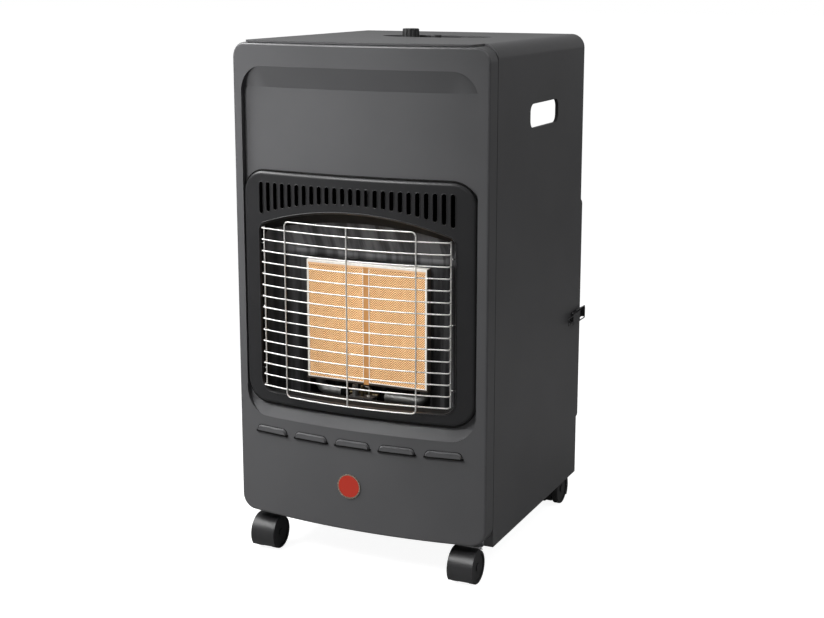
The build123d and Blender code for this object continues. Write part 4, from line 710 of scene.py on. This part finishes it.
def surface_point(node, start, direction):
    """The first point of a CAD node met by a ray, and its outward normal."""
    form = bmesh.new()
    form.from_mesh(frame["nodes"][node].data)
    place, normal, _, _ = BVHTree.FromBMesh(form).ray_cast(Vector(start), Vector(direction))
    form.free()
    if place is None:
        raise RuntimeError(f"the ray from {start} misses {node}")
    return place, normal


def along(normal, place):
    """Transform that turns +Z to the normal and moves to the place."""
    return Matrix.Translation(place) @ normal.to_track_quat("Z", "Y").to_matrix().to_4x4()


# ---------------------------------------------------------------- operators
class HEATER_OT_cabinet(bpy.types.Operator):
    """Painted sheet metal: cabinet, front panel and rear cover"""

    bl_idname = "heater.cabinet"
    bl_label = "Cabinet sheets"

    def execute(self, context):
        colour = context.scene.heater_colours.paint
        paint = powder_paint("satin_anthracite", colour, 0.36)
        skins(paint, "cabinet_wrap", "front_panel", "rear_cover")
        zinc = plated("zinc_sheet", (0.52, 0.53, 0.55), 0.42, EVEN, 120, 0.1)
        skins(zinc, "base_tray")
        shaded = plated("heat_stained_zinc_painted_shade", (0.3, 0.29, 0.28), 0.5, EVEN, 120, 0.1)
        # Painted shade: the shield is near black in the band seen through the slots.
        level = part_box("reflector_box")[1].z - SLOT_REACH
        darken(shaded, step_up(shaded, object_axes(shaded)[2], level, level + SLOT_FADE))
        skins(shaded, "heat_shield")
        # Painted shade: the frame and deflector seen through the slots are near black.
        skins(shade_black_sheet("shade_black_deflector"), "front_frame", "heat_deflector")
        shadow = shade_black_sheet("vent_shadow")
        sizes = context.scene.heater_sizes
        self.vent_mouth_shadows(sizes.vent_gap, shadow)
        self.vent_foot_shadows(sizes.vent_foot_shadow, shadow)
        return {"FINISHED"}

    def vent_mouth_shadows(self, gap, shadow):
        """Dark blocks under the air vents' lips: painted shade of their mouths."""
        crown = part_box("firebox_surround")[0].y
        mouths = bmesh.new()
        for x in VENT_PLACES:
            form = bmesh.new()
            bmesh.ops.create_cube(form, size=1)
            size = (VENT_WIDTH + gap, 2 * VENT_PROUD, gap)
            bmesh.ops.scale(form, vec=size, verts=form.verts)
            upright = [
                edge for edge in form.edges
                if abs(edge.verts[0].co.z - edge.verts[1].co.z) > gap / 2
            ]
            bmesh.ops.bevel(
                form, geom=upright, offset=VENT_PROUD * MOUTH_ROUNDING, offset_type="OFFSET",
                segments=6, profile=0.5, affect="EDGES", material=-1,
            )
            turn = Matrix.Rotation(math.asin(x / BOW_RADIUS), 3, "Z")
            bmesh.ops.rotate(form, matrix=turn, verts=form.verts)
            place = (x, crown + bow_setback(x) + MOUTH_RECESS, VENT_LEVEL - gap / 2)
            bmesh.ops.translate(form, vec=place, verts=form.verts)
            gather(mouths, form)
        new_piece("vent_mouth_shadows", mouths, shadow, "cabinet")

    def vent_foot_shadows(self, radius, shadow):
        """Dark lines where the air vents' hoods rise from the panel: painted shade in the crease.
        """
        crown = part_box("firebox_surround")[0].y
        half = VENT_WIDTH / 2 - VENT_SLOPE
        turns = [math.radians(90) * step / CORNER_STEPS for step in range(CORNER_STEPS + 1)]
        arc = [(VENT_CORNER * math.sin(turn), VENT_CORNER * math.cos(turn)) for turn in turns]
        foot = half - VENT_CORNER
        right = [(foot + across, VENT_HEIGHT - VENT_CORNER + up) for across, up in arc]
        right.append((half, 0))
        outline = [(-across, up) for across, up in reversed(right)] + right
        lines = []
        for x in VENT_PLACES:
            line = [
                Vector((x + across, crown + bow_setback(x + across), VENT_LEVEL + up))
                for across, up in outline
            ]
            lines.append(filled_out(line, VENT_HEIGHT / 4, closed=False))
        bead("vent_foot_shadows", lines, radius, shadow, "cabinet", closed=False)


class HEATER_OT_firebox(bpy.types.Operator):
    """Enamelled surround, reflector and wire guard"""

    bl_idname = "heater.firebox"
    bl_label = "Firebox and guard"

    def execute(self, context):
        sizes = context.scene.heater_sizes
        black = enamel("black_enamel", context.scene.heater_colours.enamel)
        self.paint_throat_shade(black)
        skins(black, "firebox_surround")
        self.reflector()
        self.guard(sizes.wire_slimming)
        self.lips(sizes.slot_lip, sizes.window_lip, black)
        self.gap_shadow(sizes.gap_shadow_radius)
        return {"FINISHED"}

    def reflector(self):
        """Heat-blued walls round the burner."""
        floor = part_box("reflector_box")[0].z + REFLECTOR_FLOOR
        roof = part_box("plaque_left")[1].z + REFLECTOR_ROOF
        blued = blued_sheet("blued_reflector", floor, roof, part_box("guard_loop")[1].z)
        skins(blued, "reflector_box")

    def guard(self, slimming):
        """Plated wire guard, its ends painted dark where they enter the throat: painted shade."""
        wire = plated("plated_wire", (0.7, 0.69, 0.67), 0.36, EVEN, 500, 0.05, 0.55)
        aside = math_node(wire, "ABSOLUTE", object_axes(wire)[0])
        darken(wire, step_up(wire, aside, *STUB_FADE))
        for node in ("guard_rows", "guard_loop", "guard_uprights"):
            smooth_skin(node, wire, slimming)

    def lips(self, slot_radius, window_radius, black):
        """Rolled lips round the slots and the window."""
        rings = sorted(lip_rings("firebox_surround"), key=lambda ring: max(ring_sides(ring)))
        window = max(rings, key=lambda ring: max(ring_sides(ring)) - min(ring_sides(ring)))
        slots = [widened(ring, slot_radius) for ring in rings if ring is not window]
        bead("slot_lips", slots, slot_radius, black, "cabinet")
        lip = [widened(window, window_radius)]
        bead("window_lip", lip, window_radius, black, "cabinet")

    def paint_throat_shade(self, black):
        """Painted shade: near-black, rougher enamel behind the surround's bowed face."""
        x, y, _ = object_axes(black)
        bow = math_node(black, "MULTIPLY", math_node(black, "MULTIPLY", x, x), 0.5 / BOW_RADIUS)
        depth = math_node(black, "SUBTRACT", y, bow)
        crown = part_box("firebox_surround")[0].y
        inside = step_up(black, depth, *(crown + fade for fade in THROAT_FADE))
        between = step_up(black, math_node(black, "ABSOLUTE", x), *THROAT_SIDES)
        share = math_node(black, "MULTIPLY", inside, between)
        darken(black, share)
        rough = black.node_tree.nodes["Principled BSDF"].inputs["Roughness"]
        dull = math_node(
            black, "MULTIPLY_ADD", share, THROAT_ROUGHER, rough.links[0].from_socket
        )
        black.node_tree.links.new(dull, rough)

    def gap_shadow(self, radius):
        """Black cord in the gap round the surround: painted shade of the gap."""
        low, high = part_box("firebox_surround")
        corner = SURROUND_CORNER
        ring = []
        for quarter, (x, z) in enumerate((
            (high.x - corner, high.z - corner),
            (low.x + corner, high.z - corner),
            (low.x + corner, low.z + corner),
            (high.x - corner, low.z + corner),
        )):
            for step in range(CORNER_STEPS + 1):
                turn = math.radians(90) * (quarter + step / CORNER_STEPS)
                ring.append(Vector((x + corner * math.cos(turn), 0, z + corner * math.sin(turn))))
        ring = filled_out(ring, GAP_SHADOW_STEP)
        for place in ring:
            place.y = low.y + RECESS_DEPTH / 2 + bow_setback(place.x)
        gap_shade = shade_black_sheet("black_gap_shadow")
        bead("surround_gap_shadow", [ring], radius, gap_shade, "cabinet")


class HEATER_OT_burner(bpy.types.Operator):
    """Plaques, trim, mixing tubes and the gas train behind them"""

    bl_idname = "heater.burner"
    bl_label = "Burner"

    def execute(self, context):
        colours = context.scene.heater_colours
        sizes = context.scene.heater_sizes
        ceramic = flame_ceramic("flame_ceramic", colours.ceramic, colours.ceramic_port, sizes)
        skins(ceramic, "plaque_left", "plaque_right")
        skins(burner_trim("burner_trim"), "burner_frame")
        tube = plated("aluminised_tube", (0.21, 0.21, 0.205), 0.58, (0.2, 1, 1), 240, 0.1)
        skins(tube, "mixing_tube_left", "mixing_tube_right", "burner_housing")
        brass = plated("stained_brass", (0.11, 0.085, 0.05), 0.45, EVEN, 300, 0.08)
        skins(brass, "injectors", "gas_manifold", "hose_nozzle", "thermocouple")
        pipe = plated("drawn_aluminium", (0.66, 0.66, 0.67), 0.35, (1, 1, 0.2), 260, 0.08)
        skins(pipe, "pilot_pipe", "gas_valve")
        riser = plated("stained_pipe_painted_shade", (0.4, 0.39, 0.38), 0.45, (1, 1, 0.2), 260, 0.08)
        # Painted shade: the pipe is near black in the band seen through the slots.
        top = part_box("reflector_box")[1].z
        height = object_axes(riser)[2]
        above = step_up(riser, height, top - SLOT_REACH, top - SLOT_REACH + SLOT_FADE)
        below = step_up(riser, height, top + SLOT_FADE, top)
        darken(riser, math_node(riser, "MULTIPLY", above, below))
        skins(riser, "supply_pipe")
        steel = plated("pressed_steel", (0.16, 0.16, 0.16), 0.5, EVEN, 300, 0.08)
        skins(steel, "pilot_burner")
        glaze = moulded("glazed_ceramic", (0.24, 0.23, 0.21), 0.3, 500)
        skins(glaze, "spark_electrode")
        return {"FINISHED"}


class HEATER_OT_controls(bpy.types.Operator):
    """Control tray, knob, igniter and their parts"""

    bl_idname = "heater.controls"
    bl_label = "Controls"

    def execute(self, context):
        colour = context.scene.heater_colours.plastic
        black = moulded("moulded_black", colour, 0.42)
        skins(black, "control_tray", "control_knob", "igniter_button", "igniter_body")
        skins(moulded("lead_sleeve", (0.02, 0.02, 0.021), 0.35, 300), "ignition_lead")
        steel = plated("turned_steel", (0.55, 0.55, 0.56), 0.25, EVEN, 500, 0.06)
        skins(steel, "valve_plunger", "valve_spindle")
        self.pointer()
        return {"FINISHED"}

    def pointer(self):
        """White pointer line let into the knob's top."""
        low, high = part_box("control_knob")
        centre = (low + high) / 2
        radius = (high.x - low.x) / 2
        form = bmesh.new()
        bmesh.ops.create_cube(form, size=1)
        size = (POINTER_WIDTH, radius * POINTER_LENGTH, POINTER_THICKNESS)
        bmesh.ops.scale(form, vec=size, verts=form.verts)
        bmesh.ops.bevel(
            form, geom=form.edges[:], offset=POINTER_ROUNDING, offset_type="OFFSET", segments=2,
            profile=0.5, affect="EDGES", material=-1,
        )
        place = (centre.x, centre.y - radius * POINTER_REACH, high.z - POINTER_SUNK)
        bmesh.ops.translate(form, vec=place, verts=form.verts)
        white = moulded("pointer_white", (0.75, 0.75, 0.73), 0.5, 600)
        new_piece("knob_pointer", form, white, "control_knob")


class HEATER_OT_badge(bpy.types.Operator):
    """Plain round badge on the lower front"""

    bl_idname = "heater.badge"
    bl_label = "Badge"

    def execute(self, context):
        sizes = context.scene.heater_sizes
        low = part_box("front_panel")[0]
        start = (BADGE_X, low.y - BADGE_RAY, BADGE_Z)
        place, normal = surface_point("front_panel", start, (0, 1, 0))
        radius = sizes.badge_diameter / 2
        turn = along(normal, place)
        self.rim(radius, sizes.badge_thickness, turn)
        self.face(radius, sizes.badge_thickness, turn, context.scene.heater_colours.badge)
        return {"FINISHED"}

    def rim(self, radius, thickness, turn):
        """Metal disc with a raised rim."""
        rim = bmesh.new()
        bmesh.ops.create_circle(rim, cap_ends=True, radius=radius, segments=BADGE_SEGMENTS)
        extruded = bmesh.ops.extrude_face_region(rim, geom=rim.faces[:])["geom"]
        raised = [item for item in extruded if isinstance(item, bmesh.types.BMVert)]
        bmesh.ops.translate(rim, vec=(0, 0, thickness), verts=raised)
        top = max(rim.faces, key=lambda face: face.calc_center_median().z)
        bmesh.ops.inset_region(
            rim, faces=[top], thickness=radius * BADGE_RIM, use_even_offset=True
        )
        bmesh.ops.translate(rim, vec=(0, 0, -thickness * BADGE_SINK), verts=top.verts)
        edges = [
            edge for edge in rim.edges
            if min(vertex.co.z for vertex in edge.verts) > BADGE_EDGE
        ]
        bmesh.ops.bevel(
            rim, geom=edges, offset=BADGE_ROUNDING, offset_type="OFFSET", segments=2,
            profile=0.5, affect="EDGES", material=-1,
        )
        bmesh.ops.transform(rim, matrix=turn, verts=rim.verts)
        metal = plated("badge_rim", (0.62, 0.5, 0.4), 0.25, EVEN, 400, 0.05)
        new_piece("badge_rim", rim, metal, "cabinet")

    def face(self, radius, thickness, turn, colour):
        """Enamelled face inside the rim, slightly crowned."""
        disc = bmesh.new()
        bmesh.ops.create_circle(
            disc, cap_ends=True, radius=radius * BADGE_FACE, segments=BADGE_SEGMENTS
        )
        level = thickness * BADGE_FACE_LEVEL
        bmesh.ops.translate(disc, vec=(0, 0, level), verts=disc.verts)
        bmesh.ops.inset_region(disc, faces=disc.faces[:], thickness=radius * BADGE_SLOPE)
        reach = radius * (BADGE_FACE - BADGE_SLOPE / 2)
        crown = [vertex for vertex in disc.verts if vertex.co.length < reach]
        bmesh.ops.translate(disc, vec=(0, 0, BADGE_CROWN), verts=crown)
        bmesh.ops.transform(disc, matrix=turn, verts=disc.verts)
        red = enamel("badge_enamel", colour)
        new_piece("badge_face", disc, red, "cabinet")


class HEATER_OT_hardware(bpy.types.Operator):
    """Hinges, latch and their rivets"""

    bl_idname = "heater.hardware"
    bl_label = "Hinges and latch"

    def execute(self, context):
        zinc = plated("blackened_zinc", (0.12, 0.12, 0.125), 0.36, EVEN, 350, 0.08)
        skins(zinc, "hinge_fixed", "hinge_door", "hinge_pins", "latch_base", "latch_lever")
        skins(zinc, "latch_bail", "latch_keeper")
        radius = context.scene.heater_sizes.rivet_head / 2
        steel = plated("rivet_steel", (0.3, 0.3, 0.31), 0.35, EVEN, 400, 0.08)
        places = [
            (-FAR_SIDE, HINGE_RIVET_DEPTH, level + offset)
            for level in HINGE_LEVELS
            for offset in (-RIVET_STEP, RIVET_STEP)
        ]
        self.rivets("hinge_rivets", "hinge_fixed", places, (1, 0, 0), radius, steel)
        base_low, base_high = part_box("latch_base")
        level = (base_low.z + base_high.z) / 2
        places = [
            (FAR_SIDE, base_low.y + 2 * radius, level + step * radius)
            for step in (-LATCH_RIVET_STEP, LATCH_RIVET_STEP)
        ]
        small = radius * LATCH_RIVET_SHARE
        self.rivets("latch_rivets", "latch_base", places, (-1, 0, 0), small, steel)
        return {"FINISHED"}

    def rivets(self, name, node, places, direction, radius, material):
        """Domed rivet heads where rays from the places meet a node."""
        heads = bmesh.new()
        for start in places:
            place, normal = surface_point(node, start, direction)
            form = bmesh.new()
            bmesh.ops.create_uvsphere(form, u_segments=24, v_segments=12, radius=radius)
            bmesh.ops.bisect_plane(
                form, geom=form.verts[:] + form.edges[:] + form.faces[:], plane_co=(0, 0, 0),
                plane_no=(0, 0, -1), clear_outer=True,
            )
            rim = [edge for edge in form.edges if len(edge.link_faces) == 1]
            bmesh.ops.contextual_create(form, geom=rim)
            bmesh.ops.scale(form, vec=(1, 1, RIVET_FLATNESS), verts=form.verts)
            bmesh.ops.transform(form, matrix=along(normal, place), verts=form.verts)
            gather(heads, form)
        new_piece(name, heads, material, NODE_BODY[node])


class HEATER_OT_casters(bpy.types.Operator):
    """Four swivel casters with twin wheels"""

    bl_idname = "heater.casters"
    bl_label = "Casters"

    def execute(self, context):
        colour = context.scene.heater_colours.plastic
        hood = moulded("caster_plastic", colour, 0.4)
        tread = moulded("wheel_plastic", shade(colour, 1.2), 0.5, 700)
        steel = plated("caster_steel", (0.5, 0.5, 0.51), 0.35, EVEN, 300, 0.08)
        for node in sorted(frame["nodes"]):
            if node.startswith("caster_hood"):
                smooth_skin(node, hood)
            elif node.startswith("wheel_"):
                smooth_skin(node, tread)
            elif node.startswith("caster_axle") or node in ("caster_plates", "caster_stems"):
                smooth_skin(node, steel)
        return {"FINISHED"}


class HEATER_OT_stage(bpy.types.Operator):
    """Pale floor, soft studio light and the camera"""

    bl_idname = "heater.stage"
    bl_label = "Studio"

    def execute(self, context):
        self.floor()
        self.world(context)
        self.lamps()
        self.camera(context)
        context.scene.view_settings.view_transform = "Standard"
        return {"FINISHED"}

    def floor(self):
        """Large pale floor, white to the camera apart from the object's shadow."""
        form = bmesh.new()
        bmesh.ops.create_grid(form, x_segments=1, y_segments=1, size=FLOOR_HALF)
        mesh = bpy.data.meshes.new("studio_floor")
        form.to_mesh(mesh)
        form.free()
        piece = bpy.data.objects.new("studio_floor", mesh)
        bpy.context.scene.collection.objects.link(piece)
        material = bpy.data.materials.new("studio_white")
        material.use_nodes = True
        nodes = material.node_tree.nodes
        links = material.node_tree.links
        nodes.clear()
        output = nodes.new("ShaderNodeOutputMaterial")
        path = nodes.new("ShaderNodeLightPath")
        plain = nodes.new("ShaderNodeBsdfDiffuse")
        plain.inputs["Color"].default_value = (FLOOR_LIT, FLOOR_LIT, FLOOR_LIT, 1)
        pale = nodes.new("ShaderNodeBsdfDiffuse")
        pale.inputs["Color"].default_value = (FLOOR_SEEN, FLOOR_SEEN, FLOOR_SEEN, 1)
        glow = nodes.new("ShaderNodeEmission")
        glow.inputs["Strength"].default_value = FLOOR_GLOW
        both = nodes.new("ShaderNodeAddShader")
        mix = nodes.new("ShaderNodeMixShader")
        links.new(pale.outputs["BSDF"], both.inputs[0])
        links.new(glow.outputs["Emission"], both.inputs[1])
        links.new(path.outputs["Is Camera Ray"], mix.inputs["Fac"])
        links.new(plain.outputs["BSDF"], mix.inputs[1])
        links.new(both.outputs[0], mix.inputs[2])
        links.new(mix.outputs[0], output.inputs["Surface"])
        mesh.materials.append(material)

    def world(self, context):
        """Even surround: white where it is seen, dim as a lamp, less dim where it is mirrored."""
        world = bpy.data.worlds.new("studio")
        world.use_nodes = True
        context.scene.world = world
        nodes = world.node_tree.nodes
        links = world.node_tree.links
        background = nodes["Background"]
        background.inputs["Color"].default_value = (1, 1, 1, 1)
        path = nodes.new("ShaderNodeLightPath")
        seen = nodes.new("ShaderNodeMath")
        seen.operation = "MAXIMUM"
        links.new(path.outputs["Is Camera Ray"], seen.inputs[0])
        links.new(path.outputs["Is Transmission Ray"], seen.inputs[1])
        mirrored = nodes.new("ShaderNodeMapRange")
        mirrored.inputs["To Min"].default_value = WORLD_LAMP
        mirrored.inputs["To Max"].default_value = WORLD_MIRRORED
        links.new(path.outputs["Is Glossy Ray"], mirrored.inputs["Value"])
        level = nodes.new("ShaderNodeMath")
        level.operation = "MAXIMUM"
        links.new(seen.outputs[0], level.inputs[0])
        links.new(mirrored.outputs["Result"], level.inputs[1])
        links.new(level.outputs[0], background.inputs["Strength"])

    def lamps(self):
        """Two soft lamps at the front left and a wide one at the right."""
        for name, place, target, size, power, spread in LAMPS:
            lamp = bpy.data.lights.new(name, "AREA")
            lamp.shape = "SQUARE"
            lamp.size = size
            lamp.energy = power
            lamp.spread = math.radians(spread)
            holder = bpy.data.objects.new(name, lamp)
            bpy.context.scene.collection.objects.link(holder)
            holder.location = place
            holder.rotation_mode = "QUATERNION"
            ahead = Vector(target) - Vector(place)
            holder.rotation_quaternion = ahead.to_track_quat("-Z", "Y")

    def camera(self, context):
        """The photograph's view."""
        lens = bpy.data.cameras.new("photo_camera")
        lens.sensor_width = SENSOR_WIDTH
        lens.lens = LENS_LENGTH
        lens.shift_y = -PRINCIPAL_ROW_OFFSET / IMAGE_WIDTH
        lens.dof.use_dof = False
        holder = bpy.data.objects.new("photo_camera", lens)
        context.scene.collection.objects.link(holder)
        holder.location = CAMERA_PLACE
        holder.rotation_mode = "QUATERNION"
        level = math.cos(CAMERA_PITCH)
        ahead = Vector((
            -math.sin(CAMERA_YAW) * level, math.cos(CAMERA_YAW) * level, -math.sin(CAMERA_PITCH)
        ))
        holder.rotation_quaternion = ahead.to_track_quat("-Z", "Y")
        context.scene.camera = holder


# ---------------------------------------------------------------- panel and registration
OPERATORS = (
    HEATER_OT_cabinet,
    HEATER_OT_firebox,
    HEATER_OT_burner,
    HEATER_OT_controls,
    HEATER_OT_badge,
    HEATER_OT_hardware,
    HEATER_OT_casters,
    HEATER_OT_stage,
)


class HEATER_PT_looks(bpy.types.Panel):
    """Sizes, colours and steps of the heater's looks"""

    bl_idname = "HEATER_PT_looks"
    bl_label = "Cabinet heater"
    bl_space_type = "VIEW_3D"
    bl_region_type = "UI"
    bl_category = "Heater"

    def draw(self, context):
        layout = self.layout
        for settings in (context.scene.heater_sizes, context.scene.heater_colours):
            for name in settings.__annotations__:
                layout.prop(settings, name)
        for operator in OPERATORS:
            layout.operator(operator.bl_idname)


CLASSES = (HeaterSizes, HeaterColours, *OPERATORS, HEATER_PT_looks)


def register():
    for item in CLASSES:
        bpy.utils.register_class(item)
    bpy.types.Scene.heater_sizes = PointerProperty(type=HeaterSizes)
    bpy.types.Scene.heater_colours = PointerProperty(type=HeaterColours)


def unregister():
    del bpy.types.Scene.heater_colours
    del bpy.types.Scene.heater_sizes
    for item in reversed(CLASSES):
        bpy.utils.unregister_class(item)


def main():
    register()
    bpy.ops.heater.cabinet()
    bpy.ops.heater.firebox()
    bpy.ops.heater.burner()
    bpy.ops.heater.controls()
    bpy.ops.heater.badge()
    bpy.ops.heater.hardware()
    bpy.ops.heater.casters()
    bpy.ops.heater.stage()


if __name__ == "__main__":
    main()
